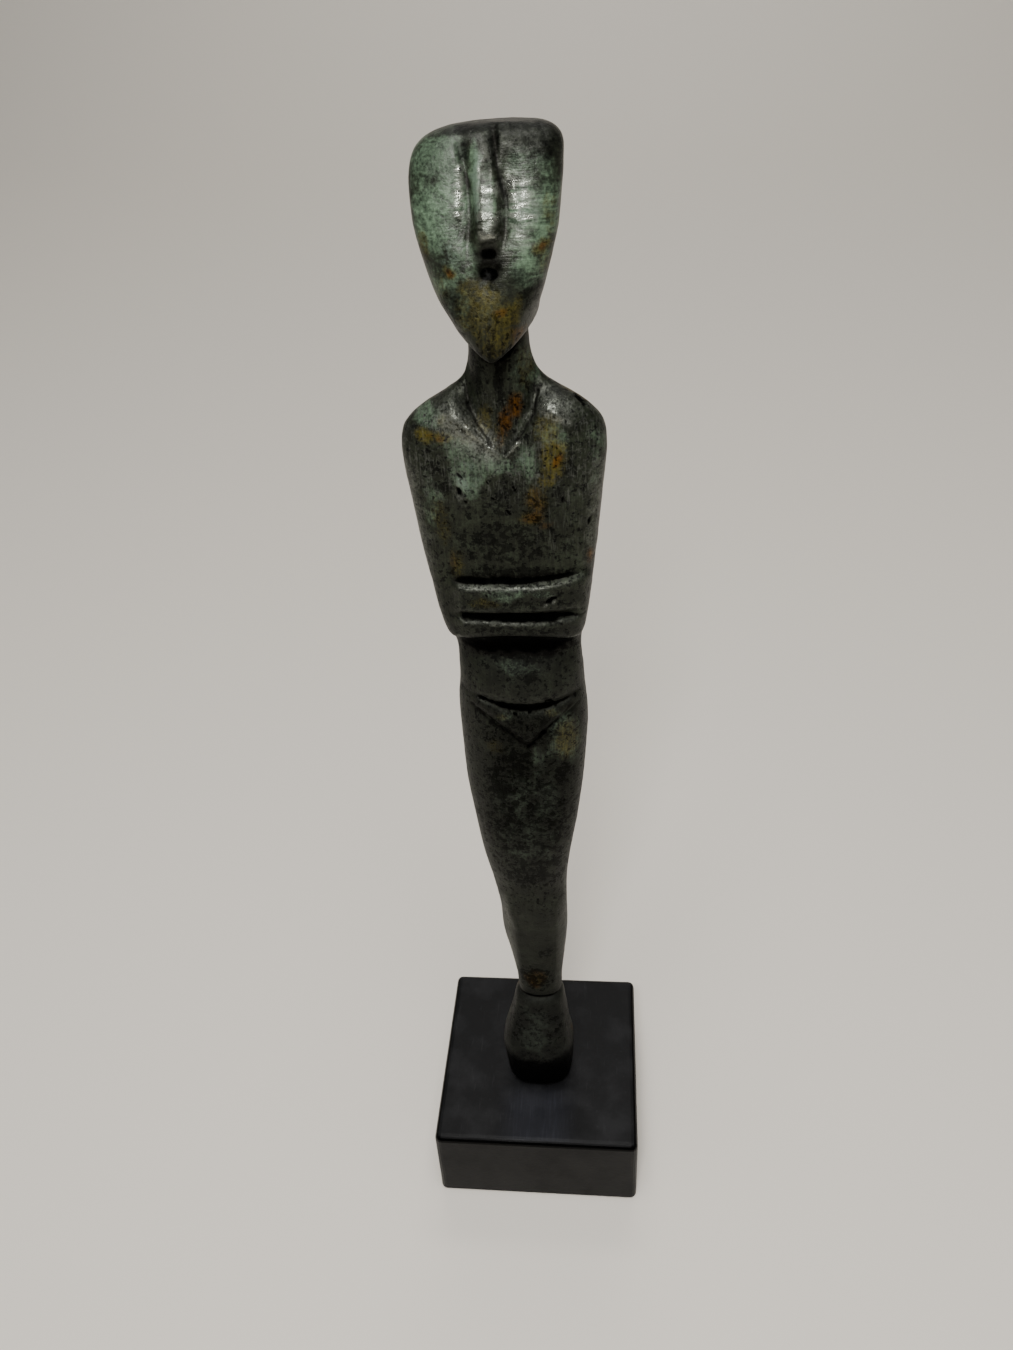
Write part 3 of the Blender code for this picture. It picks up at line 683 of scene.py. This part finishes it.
class BronzeSkin(Shader):
    """Waxed, chemically coloured bronze, laid on coat by coat, with painted shade and painted highlights."""

    def __init__(self, settings):
        super().__init__("patinated bronze")
        self.settings = settings
        self.coats = {name: self.attribute(name) for name in PATINA}
        self.edge = self.attribute("edge")
        self.blotch = self.cloud(0.0036, 6.0, 0.62)
        self.crust = self.cloud(0.0013, 6.0, 0.70)
        self.fleck = self.cloud(0.0009, 5.0, 0.66, self.shifted(0.31))
        self.speckle = self.cloud(0.00045, 3.0, 0.6)
        self.pinholes = self.pits(0.0015, 0.00030, 0.30)
        self.sideways, self.level = (self.along(axis) for axis in "XZ")
        self.on_head = self.by_level(HEAD)
        self.calm = 1.0 - 0.75 * self.by_level(SHINS_DOWN)

    def by_level(self, span):
        """Mask from 0 to 1 between two levels above the soles, in millimetres."""
        low, high = span
        return self.level.rise(SOLES + low * MM, SOLES + high * MM)

    def by_side(self, span):
        """Mask from 0 to 1 between two places across the figure, in millimetres."""
        low, high = span
        return self.sideways.rise(low * MM, high * MM)

    def grained(self, tint, dark, light, offset):
        """A coat's colour, darker and lighter with the grain."""
        return self.mix((self.grit + offset).clamped(), times(tint, dark), times(tint, light))

    def file_over(self):
        """File marks, across on the head and upright below it, and the grit they give."""
        across = self.strokes((240.0, 240.0, 2300.0), 0.10)
        upright = self.strokes((2000.0, 700.0, 130.0), 0.05)
        across = 0.5 + (across - 0.5) * (0.4 + 0.6 * self.by_side(FACE_RIGHT))
        self.marks = across * self.on_head + upright * (1.0 - self.on_head)
        grit = 1.8 * (self.speckle - 0.5) + 2.4 * (self.crust - 0.5) + 2.2 * (self.marks - 0.5)
        self.grit = grit * self.calm

    def find_shade(self):
        """The fields that are kept darker: under the arms, thighs, ankles and toes."""
        self.below = self.by_level(ARMS_DOWN) * 0.42 + self.by_level(ANKLES_DOWN) * 0.32
        thighs = self.by_level(HIPS_DOWN) * self.by_level(KNEES_UP)
        self.thighs = thighs * (0.25 + 0.75 * self.by_side(THIGHS_RIGHT)) * (1.0 - 0.8 * self.coats["gold"])
        low, high = TOES_DOWN
        ragged = self.level + 0.006 * (self.blotch - 0.5)
        self.toes = ragged.rise(SOLES + low * MM, SOLES + high * MM)

    def lay_colours(self):
        """Metal ground, then green, pale bloom, gold and rust."""
        settings, coats = self.settings, self.coats
        mottled = (2.6 * (self.blotch - 0.5) + self.grit + 0.4).clamped()
        tone = self.mix(mottled, settings.metal, times(settings.metal, 2.4))
        self.green = worn_through(coats["verdigris"] + 0.10, self.blotch, 2.4, 0.42)
        green = self.grained(settings.verdigris, 0.35, 1.7, 0.45)
        tone = self.mix(self.green * (0.55 + 0.34 * self.on_head), tone, green)
        tone = self.mix(self.by_level(BROW_UP) * 0.18, tone, settings.metal)
        tone = self.mix(worn_through(coats["bloom"], self.fleck, 2.6, 0.40) * 0.8, tone, settings.bloom)
        gilded = worn_through(coats["gold"], self.fleck, 2.0, 0.45) * (0.85 - 0.24 * self.on_head)
        tone = self.mix(gilded, tone, self.grained(settings.gold, 0.3, 1.6, 0.5))
        tarnished = worn_through(coats["rust"], self.blotch, 1.6, 0.45) * 0.8
        return self.mix(tarnished, tone, self.grained(settings.rust, 0.25, 1.5, 0.5))

    def blacken(self, tone):
        """Soot, smoky on the head and crisp below it, with specks and pinholes, then painted shade under the
        arms, toward the feet, on the thighs and on the toes.
        """
        off_head = 1.0 - self.on_head
        specks = self.fleck.rise(0.54, 0.60) * (0.9 - 0.72 * self.on_head) + self.pinholes * off_head
        smoky = worn_through(self.coats["soot"], self.crust, 2.2, 0.40) * self.on_head
        crisp = worn_through(self.coats["soot"], self.crust, 5.0, 0.14) * off_head
        self.black = (smoky * 0.85 + crisp * 0.80 + specks * self.calm).clamped()
        tone = self.mix(self.black * 0.9, tone, self.settings.soot)
        shade = self.below * (1.0 - 0.5 * self.coats["gold"]) + 0.18 * self.thighs + 0.6 * self.toes
        return self.mix(shade, tone, self.settings.soot)

    def wear(self, tone):
        """Brush marks and scuffs on the chest, and bright places that are partly bared metal and partly
        painted highlights.
        """
        on_chest = self.by_level(CHEST_UP)
        brushed = self.strokes((3400.0, 900.0, 300.0), 0.04).rise(0.54, 0.64)
        brushed = brushed * (self.by_side(CHEST_RIGHT) * self.by_level(RIBS_UP) + on_chest).clamped()
        scuffs = self.cloud(0.0007, 5.0, 0.7, self.shifted(0.77)).rise(0.52, 0.62) * on_chest
        kept = (1.0 - 0.8 * self.coats["rust"]) * (1.0 - 0.5 * self.coats["gold"])
        scuffed = (brushed + scuffs) * 0.36 * self.by_level(NECK_DOWN) * kept
        tone = self.mix(scuffed, tone, times(self.settings.worn_and_highlight, 0.28))
        # Painted highlights: on the head, waves break them into horizontal glints; below it, they catch light
        # on lips, ridges and facets, mixed with metal bared on edges.
        waves = self.strokes((380.0, 380.0, 1500.0), 0.08)
        sheen = (3.4 * (self.speckle - 0.5) + 3.0 * (self.crust - 0.5)) * (1.0 - 0.65 * self.on_head)
        self.rubbed_and_highlight = (self.edge * (sheen + 6.0 * self.on_head * (waves - 0.5) + 0.7)).clamped()
        return self.mix(self.rubbed_and_highlight * (0.6 + 0.2 * self.on_head), tone, self.settings.worn_and_highlight)

    def soil_and_shade(self, tone):
        """Darkening in the hollows and cuts, part soiling and part painted shade: grey-brown where it is
        thin, black where it is deep.
        """
        soot = self.settings.soot
        self.dirt_and_shade = self.attribute("hollow").rise(0.10, 0.85) * (1.0 - 0.5 * self.coats["rust"])
        grime_and_shade = self.mix(self.dirt_and_shade.rise(0.55, 0.90), times(soot, 3.6, 3.0, 3.1), times(soot, 0.3))
        return self.mix(self.dirt_and_shade * 0.97, tone, grime_and_shade)

    def roughness(self):
        """Waxed and smooth on bared edges and painted highlights, duller in the darkened hollows, on gold and
        on the shaded fields.
        """
        rough = self.settings.polish + 0.24 * self.dirt_and_shade + 0.10 * self.black + 0.20 * self.speckle
        rough = rough - 0.24 * self.rubbed_and_highlight - 0.08 * self.on_head
        return (rough + 0.16 * self.coats["gold"] + 0.20 * self.below).clamped()

    def metallic(self):
        """Metal shows through gaps in the green, in the black, on bared edges and on painted highlights."""
        metal = 0.5 * (1.0 - self.green * 0.8) + 0.5 * self.dirt_and_shade + 0.35 * self.black + 0.3 * self.rubbed_and_highlight
        metal = metal + self.on_head * (0.4 * self.black + 0.5 * self.rubbed_and_highlight - 0.3)
        metal = metal + 0.45 * self.coats["gold"] * self.on_head + 0.35 * self.coats["rust"]
        return (metal + 0.3 * self.thighs + 0.5 * self.toes).clamped()

    def relief(self):
        """Height of file marks, grain, ripples, pinholes and soot."""
        settings = self.settings
        ripple = self.strokes((300.0, 300.0, 850.0), 0.10) * self.edge * self.on_head
        height = settings.file_marks * self.marks + settings.ripples * ripple
        height = height + settings.grain * (0.5 * self.speckle + 0.8 * self.crust)
        return height - PINHOLE_DEPTH * self.pinholes * (1.0 - self.on_head) - SOOT_DEPTH * self.black

    def finished(self):
        """The whole material."""
        self.file_over()
        self.find_shade()
        tone = self.soil_and_shade(self.wear(self.blacken(self.lay_colours())))
        sockets = {
            "Base Color": tone,
            "Roughness": self.roughness(),
            "Metallic": self.metallic(),
            "Specular IOR Level": 0.34,
            "Normal": self.bump(self.relief()),
        }
        return self.surfaced(sockets)


def stone_material(settings):
    """Honed black stone with faint clouds, dust and fine scuffs, a painted reflection before the toes and
    painted dark reflections on the rounded top edges.
    """
    shader = Shader("honed black stone")
    cloud = shader.cloud(0.011, 5.0, 0.6)
    dust = shader.cloud(0.0012, 4.0, 0.7)
    scratch = shader.cloud(1.0, 2.0, 0.5, shader.scaled((2200.0, 160.0, 2200.0)))
    across, deep, level = (shader.along(axis) for axis in "XYZ")
    outward = across.math("ABSOLUTE").math("MAXIMUM", deep.math("ABSOLUTE"))
    bevel = outward.rise(BLOCK_SIDE - 0.0011, BLOCK_SIDE - 0.0005)
    bevel = bevel * level.rise(BLOCK_TOP - 0.0019, BLOCK_TOP - 0.0013)
    upper = level.rise(BLOCK_TOP - 0.0003, BLOCK_TOP - 0.0001)
    scuffed = cloud.rise(0.40, 0.70) * 0.45 + dust.rise(0.60, 0.78) * 0.35
    scuffed = (scuffed + scratch.rise(0.62, 0.78) * 0.30).clamped()
    tone = shader.mix(scuffed * (0.15 + 0.85 * upper), settings.stone, settings.scuff_and_reflection)
    # Painted reflection: a bluish streaked trail from the toes to the front edge, where the figure mirrors in
    # the stone.
    toe_reflection = across.rise(-0.011, -0.003) * across.rise(0.011, 0.004) * deep.rise(-0.008, -0.014) * upper
    toe_reflection = toe_reflection * (0.8 + 0.5 * scratch.rise(0.40, 0.80)) * 0.36
    tone = shader.mix(toe_reflection, tone, times(settings.scuff_and_reflection, 1.25, 1.3, 1.6))
    # Painted dark reflection: the rounded top edges are painted near black, as they mirror the dark room in
    # front.
    tone = shader.mix(bevel * 0.9, tone, times(settings.stone, 0.2))
    sockets = {
        "Base Color": tone,
        "Roughness": (settings.hone + 0.16 * cloud + 0.14 * scuffed - 0.10 * bevel).clamped(),
        "Metallic": bevel * 0.8 + (1.0 - upper) * (1.0 - bevel) * 0.45,
        "Specular IOR Level": 0.12,
        "Normal": shader.bump(0.00003 * dust + 0.000012 * scratch),
    }
    return shader.surfaced(sockets)


def floor_material(settings):
    """Plain pale floor."""
    return Shader("plain pale floor").surfaced({"Base Color": settings.floor, "Roughness": 0.6})


def ramp(values, low, high):
    """Smooth step over an array, from 0 at low to 1 at high; high may be the smaller."""
    part = np.clip((values - low) / (high - low), 0.0, 1.0)
    return part * part * (3.0 - 2.0 * part)


def spread_out(points, pairs, rounds):
    """Average each point with its neighbours, over and over."""
    counts = np.bincount(pairs.ravel(), minlength=len(points))[:, None]
    for _ in range(rounds):
        total = np.zeros_like(points)
        np.add.at(total, pairs[:, 0], points[pairs[:, 1]])
        np.add.at(total, pairs[:, 1], points[pairs[:, 0]])
        points = 0.5 * points + 0.5 * total / counts
    return points


def noise_field(points, size, octaves):
    """Fractal noise at each point, with blotches about size millimetres across."""
    scale = 1.0 / (size * MM)
    return np.array([noise.fractal(Vector(p) * scale, 0.8, 2.0, octaves) for p in points])


def line_distance(x, z, line):
    """Distance of each point of the front from a short line."""
    ax, az, bx, bz = line
    run = (bx - ax) ** 2 + (bz - az) ** 2
    along = np.clip(((x - ax) * (bx - ax) + (z - az) * (bz - az)) / max(run, 1e-9), 0.0, 1.0)
    return np.hypot(x - ax - along * (bx - ax), z - az - along * (bz - az))


def patch_distance(x, z, patch):
    """Distance of each point from a patch's middle, in half widths and half heights."""
    px, pz, wide, tall = patch
    return np.hypot((x - px) / wide, (z - pz) / tall)


def channel_depth(x, z, channel, outer):
    """Depth of a channel whose wall on the outer side, -1 or 1, is the steeper one."""
    table = np.array(channel)[::-1]
    middle, width, depth = (np.interp(z, table[:, 1], table[:, k]) for k in (0, 2, 3))
    depth = np.where((z < table[0, 1]) | (z > table[-1, 1]), 0.0, depth)
    off = (x - middle) / width
    slope = np.where(off * outer > 0.0, STEEP_WALL, EASY_WALL)
    return depth * np.exp(-((off / slope) ** 2))


def mesh_points(mesh):
    """Places and normals of a mesh's points, as arrays."""
    places = np.empty(len(mesh.vertices) * 3)
    normals = np.empty(len(mesh.vertices) * 3)
    mesh.vertices.foreach_get("co", places)
    mesh.vertices.foreach_get("normal", normals)
    return places.reshape(-1, 3), normals.reshape(-1, 3)


def front_view(places):
    """Where the points lie as seen from the front: x, and z above the soles, in millimetres."""
    return places[:, 0] / MM, (places[:, 2] - SOLES) / MM


def move_points(mesh, places):
    """Put a mesh's points in new places."""
    mesh.vertices.foreach_set("co", places.ravel())
    mesh.update()


def mesh_pairs(mesh):
    """The two points of every edge of a mesh."""
    pairs = np.empty(len(mesh.edges) * 2, dtype=np.int64)
    mesh.edges.foreach_get("vertices", pairs)
    return pairs.reshape(-1, 2)


def fine_copy(node, name, levels):
    """A copy of a CAD solid as clean quads, made finer."""
    bpy.ops.object.select_all(action="DESELECT")
    piece = bpy.data.objects.new(name, node.data.copy())
    piece.data.name = name
    bpy.context.scene.collection.objects.link(piece)
    piece.select_set(True)
    bpy.context.view_layer.objects.active = piece
    bpy.ops.mesh.customdata_custom_splitnormals_clear()
    bpy.ops.object.mode_set(mode="EDIT")
    bpy.ops.mesh.select_all(action="SELECT")
    bpy.ops.mesh.remove_doubles(threshold=MERGE_WITHIN)
    bpy.ops.mesh.tris_convert_to_quads(face_threshold=math.pi, shape_threshold=math.pi)
    bpy.ops.mesh.mark_sharp(clear=True)
    bpy.ops.object.mode_set(mode="OBJECT")
    finer = piece.modifiers.new("finer", "SUBSURF")
    finer.levels = levels
    finer.render_levels = levels
    bpy.ops.object.modifier_apply(modifier=finer.name)
    bpy.ops.object.shade_smooth()
    return piece


def grow_back(mesh, node, pairs):
    """Undo what the smoothing took off the solid's outline, and soften the nose's left flank."""
    places, normals = mesh_points(mesh)
    solid = BVHTree.FromPolygons([v.co for v in node.data.vertices], [f.vertices for f in node.data.polygons])
    nearest = np.array([solid.find_nearest(Vector(place))[0] for place in places])
    short = ((nearest - places) * normals).sum(axis=1)[:, None]
    places += normals * spread_out(short, pairs, SOFTEN_ROUNDS)
    flank = ramp(patch_distance(*front_view(places), NOSE_FLANK), *SOFT_EDGE) * (normals[:, 1] < 0.0)
    places += flank[:, None] * (spread_out(places, pairs, SOFTEN_ROUNDS) - places)
    move_points(mesh, places)


def work_surface(mesh, unevenness):
    """Cut the finer carving, make the skin as uneven as handwork, and give how dark each cut is painted, with
    its shade and soiling.
    """
    places, normals = mesh_points(mesh)
    x, z = front_view(places)
    front = ramp(-normals[:, 1], 0.0, 0.35)
    lift = np.zeros(len(x))
    dirt_and_shade = np.zeros(len(x))
    ragged = 0.16 * noise_field(places, 1.1, 3) * (1.0 + 1.1 * ramp(z, *BELLY_DOWN))
    for *line, width, height in STROKES:
        pressed = np.exp(-(((line_distance(x, z, line) + ragged) / width) ** 2))
        lift += height * pressed
        if height < 0.0:
            dirt_and_shade = np.maximum(dirt_and_shade, pressed * min(1.0, -1.6 * height / width))
    for *line, radius, depth in SCARS:
        pressed = ramp(line_distance(x, z, line) + 1.6 * ragged, radius * 1.15, radius * 0.45)
        lift -= depth * pressed
        dirt_and_shade = np.maximum(dirt_and_shade, pressed)
    for *patch, depth, darkness in HOLLOWS:
        pressed = ramp(patch_distance(x, z, patch) + 0.5 * ragged, *PATCH_EDGE)
        lift -= depth * pressed
        dirt_and_shade = np.maximum(dirt_and_shade, darkness * pressed)
    for channel, outer, darkness in CHANNELS:
        depth = channel_depth(x, z, channel, outer)
        lift -= depth
        dirt_and_shade = np.maximum(dirt_and_shade, darkness * (depth / DEEPEST) ** 0.6 + 0.16 * (depth / DEEPEST) ** 4)
    lift *= front * MM
    wobble = noise_field(places, 7.0, 3) + 0.45 * noise_field(places, 1.8, 2)
    lift += unevenness * wobble * ramp(z, *SOLES_UP)
    places += normals * lift[:, None]
    move_points(mesh, places)
    return dirt_and_shade * ramp(-normals[:, 1], -0.3, 0.1)


def paint_patina(mesh):
    """Write the strength of each coat of patina on the mesh's points; the soot coat also holds painted
    shadow.
    """
    places, normals = mesh_points(mesh)
    x, z = front_view(places)
    front = ramp(-normals[:, 1], -0.25, 0.25)
    drift = 0.7 * noise_field(places, 5.0, 4)
    drift_up = 0.7 * noise_field(places + 0.5, 5.0, 4)
    for i, (name, patches) in enumerate(PATINA.items(), 1):
        paint = np.zeros(len(x))
        for *patch, strength in patches:
            reach = patch_distance(x + drift, z + drift_up, patch)
            paint = np.maximum(paint, strength * ramp(reach, *PATCH_EDGE))
        elsewhere = 0.75 * ramp(noise_field(places + 0.1 * i, 9.0, 4), -0.1, 0.8)
        if name == "soot":
            elsewhere = np.maximum(elsewhere, 0.7 * ramp(z, *CROWN_UP))
            paint = np.maximum(paint, 0.8 * ramp(z, *CROWN_TOP))
        write_attribute(mesh, name, front * paint + (1.0 - front) * elsewhere)


def paint_wear(mesh, pairs, dirt_and_shade):
    """Write the hollows painted dark, as soiling and painted shade, and the places painted bright, as bared
    metal and painted highlights, on the mesh's points.
    """
    places, normals = mesh_points(mesh)
    x, z = front_view(places)
    front = ramp(-normals[:, 1], -0.25, 0.25)
    near = ((spread_out(places, pairs, NEAR_ROUNDS) - places) * normals).sum(axis=1) / MM
    wide = ((spread_out(places, pairs, WIDE_ROUNDS) - places) * normals).sum(axis=1) / MM
    hollow = np.clip((near - 0.015) / 0.12, 0.0, 1.0) * 0.75 + np.clip((wide - 0.06) / 0.5, 0.0, 1.0) * 0.5
    hollow *= 1.0 - 0.45 * ramp(z, *CHEEKS_UP)
    hollow *= 1.0 - 0.6 * ramp(patch_distance(x, z, NECK_V), *SOFT_EDGE)
    write_attribute(mesh, "hollow", np.maximum(hollow, dirt_and_shade))
    rubbed_and_highlight = 0.38 * np.clip((-near - 0.03) / 0.08, 0.0, 1.0) * (0.12 + 0.88 * ramp(z, *FOREARMS_UP))
    rubbed_and_highlight *= 1.0 - front * ramp(z, *SHOULDERS_UP)
    for *line, width, strength in RUBBED_AND_HIGHLIGHTS:
        rubbed_and_highlight = np.maximum(rubbed_and_highlight, front * strength * np.exp(-((line_distance(x, z, line) / width) ** 2)))
    write_attribute(mesh, "edge", rubbed_and_highlight)


def write_attribute(mesh, name, values):
    """Store one number for each point of the mesh."""
    attribute = mesh.attributes.new(name, "FLOAT", "POINT")
    attribute.data.foreach_set("value", values.astype(np.float32))


class FIGURINE_OT_bronze(bpy.types.Operator):
    """Work and patinate the bronze figure"""

    bl_idname = "figurine.bronze"
    bl_label = "Bronze figure"

    def execute(self, context):
        settings = context.scene.figurine_bronze
        piece = fine_copy(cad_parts["figure"], "bronze_figure", FINER_LEVELS)
        pairs = mesh_pairs(piece.data)
        grow_back(piece.data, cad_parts["figure"], pairs)
        dirt_and_shade = work_surface(piece.data, settings.unevenness)
        paint_patina(piece.data)
        paint_wear(piece.data, pairs, dirt_and_shade)
        piece.data.materials.clear()
        piece.data.materials.append(BronzeSkin(settings).finished())
        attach(piece, "root")
        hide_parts("figure")
        return {"FINISHED"}


class FIGURINE_OT_block(bpy.types.Operator):
    """Give the block its stone"""

    bl_idname = "figurine.block"
    bl_label = "Stone block"

    def execute(self, context):
        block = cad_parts["base"]
        stone = stone_material(context.scene.figurine_stone)
        for slot in block.material_slots:
            slot.material = stone
        return {"FINISHED"}


def soft_light(name, place, aim, size, energy, tint):
    """A square soft light that looks at a point."""
    lamp = bpy.data.lights.new(name, "AREA")
    lamp.shape = "SQUARE"
    lamp.size = size
    lamp.energy = energy
    lamp.color = tint
    holder = bpy.data.objects.new(name, lamp)
    holder.location = place
    holder.rotation_euler = (Vector(aim) - Vector(place)).to_track_quat("-Z", "Y").to_euler()
    bpy.context.scene.collection.objects.link(holder)


class FIGURINE_OT_stage(bpy.types.Operator):
    """Lay the floor and set the lights and the camera"""

    bl_idname = "figurine.stage"
    bl_label = "Floor, lights and camera"

    def execute(self, context):
        settings = context.scene.figurine_stage
        bpy.ops.object.select_all(action="DESELECT")
        floor = self.sweep()
        floor.data.materials.append(floor_material(settings))
        soft_light("key", KEY_PLACE, HEAD_MIDDLE, settings.key_size, settings.key_power, KEY_TINT)
        soft_light("ceiling", (0.0, -0.3, 1.5), (0.0, 0.0, 0.0), 0.8, settings.ceiling_power, DAYLIGHT)
        soft_light("backdrop", (0.0, 1.6, 2.6), (0.0, 3.0, 0.8), 1.4, settings.backdrop_power, DAYLIGHT)
        world = bpy.data.worlds.new("room")
        world.use_nodes = True
        background = world.node_tree.nodes["Background"]
        background.inputs["Color"].default_value = (0.98, 0.97, 0.95, 1.0)
        background.inputs["Strength"].default_value = settings.room
        context.scene.world = world
        self.camera(context, settings)
        return {"FINISHED"}

    def sweep(self):
        """A floor that curves up far behind the figure."""
        bpy.ops.mesh.primitive_grid_add(
            x_subdivisions=1, y_subdivisions=FLOOR_STRIPS, size=FLOOR_SIZE, location=(0.0, FLOOR_MIDDLE, 0.0)
        )
        floor = bpy.context.object
        floor.name = "floor"
        for vertex in floor.data.vertices:
            beyond = vertex.co.y + FLOOR_MIDDLE - CURVE_START
            angle = max(0.0, min(beyond / CURVE_RADIUS, math.pi / 2))
            if beyond > 0.0:
                straight = beyond - angle * CURVE_RADIUS
                vertex.co.y = CURVE_START - FLOOR_MIDDLE + CURVE_RADIUS * math.sin(angle)
                vertex.co.z = CURVE_RADIUS * (1.0 - math.cos(angle)) + straight
        bpy.ops.object.shade_smooth()
        return floor

    def camera(self, context, settings):
        """Stand the camera above and in front, looking down at the figure."""
        pitch, yaw, roll = settings.pitch, settings.yaw, settings.roll
        ahead = Vector((-math.sin(yaw), math.cos(yaw), 0.0))
        forward = math.cos(pitch) * ahead - Vector((0.0, 0.0, math.sin(pitch)))
        level = Vector((math.cos(yaw), math.sin(yaw), 0.0))
        upright = level.cross(forward)
        right = math.cos(roll) * level + math.sin(roll) * upright
        up = -math.sin(roll) * level + math.cos(roll) * upright
        data = bpy.data.cameras.new("camera")
        data.lens = settings.focal_length
        data.sensor_width = 36.0
        data.clip_start = 0.01
        camera = bpy.data.objects.new("camera", data)
        camera.rotation_euler = Matrix((right, up, -forward)).transposed().to_euler()
        camera.location = CAMERA_PLACE
        context.scene.collection.objects.link(camera)
        context.scene.camera = camera


class FIGURINE_PT_sidebar(bpy.types.Panel):
    """Settings and steps of the figurine"""

    bl_idname = "FIGURINE_PT_sidebar"
    bl_label = "Figurine"
    bl_space_type = "VIEW_3D"
    bl_region_type = "UI"
    bl_category = "Figurine"

    def draw(self, context):
        scene = context.scene
        for settings, operator in (
            (scene.figurine_bronze, FIGURINE_OT_bronze),
            (scene.figurine_stone, FIGURINE_OT_block),
            (scene.figurine_stage, FIGURINE_OT_stage),
        ):
            column = self.layout.column()
            for name in settings.bl_rna.properties.keys():
                if name not in ("rna_type", "name"):
                    column.prop(settings, name)
            column.operator(operator.bl_idname)


CLASSES = (
    BronzeSettings,
    StoneSettings,
    StageSettings,
    FIGURINE_OT_bronze,
    FIGURINE_OT_block,
    FIGURINE_OT_stage,
    FIGURINE_PT_sidebar,
)


def register():
    for item in CLASSES:
        bpy.utils.register_class(item)
    bpy.types.Scene.figurine_bronze = bpy.props.PointerProperty(type=BronzeSettings)
    bpy.types.Scene.figurine_stone = bpy.props.PointerProperty(type=StoneSettings)
    bpy.types.Scene.figurine_stage = bpy.props.PointerProperty(type=StageSettings)


def unregister():
    del bpy.types.Scene.figurine_stage
    del bpy.types.Scene.figurine_stone
    del bpy.types.Scene.figurine_bronze
    for item in reversed(CLASSES):
        bpy.utils.unregister_class(item)


def main():
    """Make the pieces and the stage."""
    register()
    bpy.ops.figurine.stage()
    bpy.ops.figurine.block()
    bpy.ops.figurine.bronze()


if __name__ == "__main__":
    main()
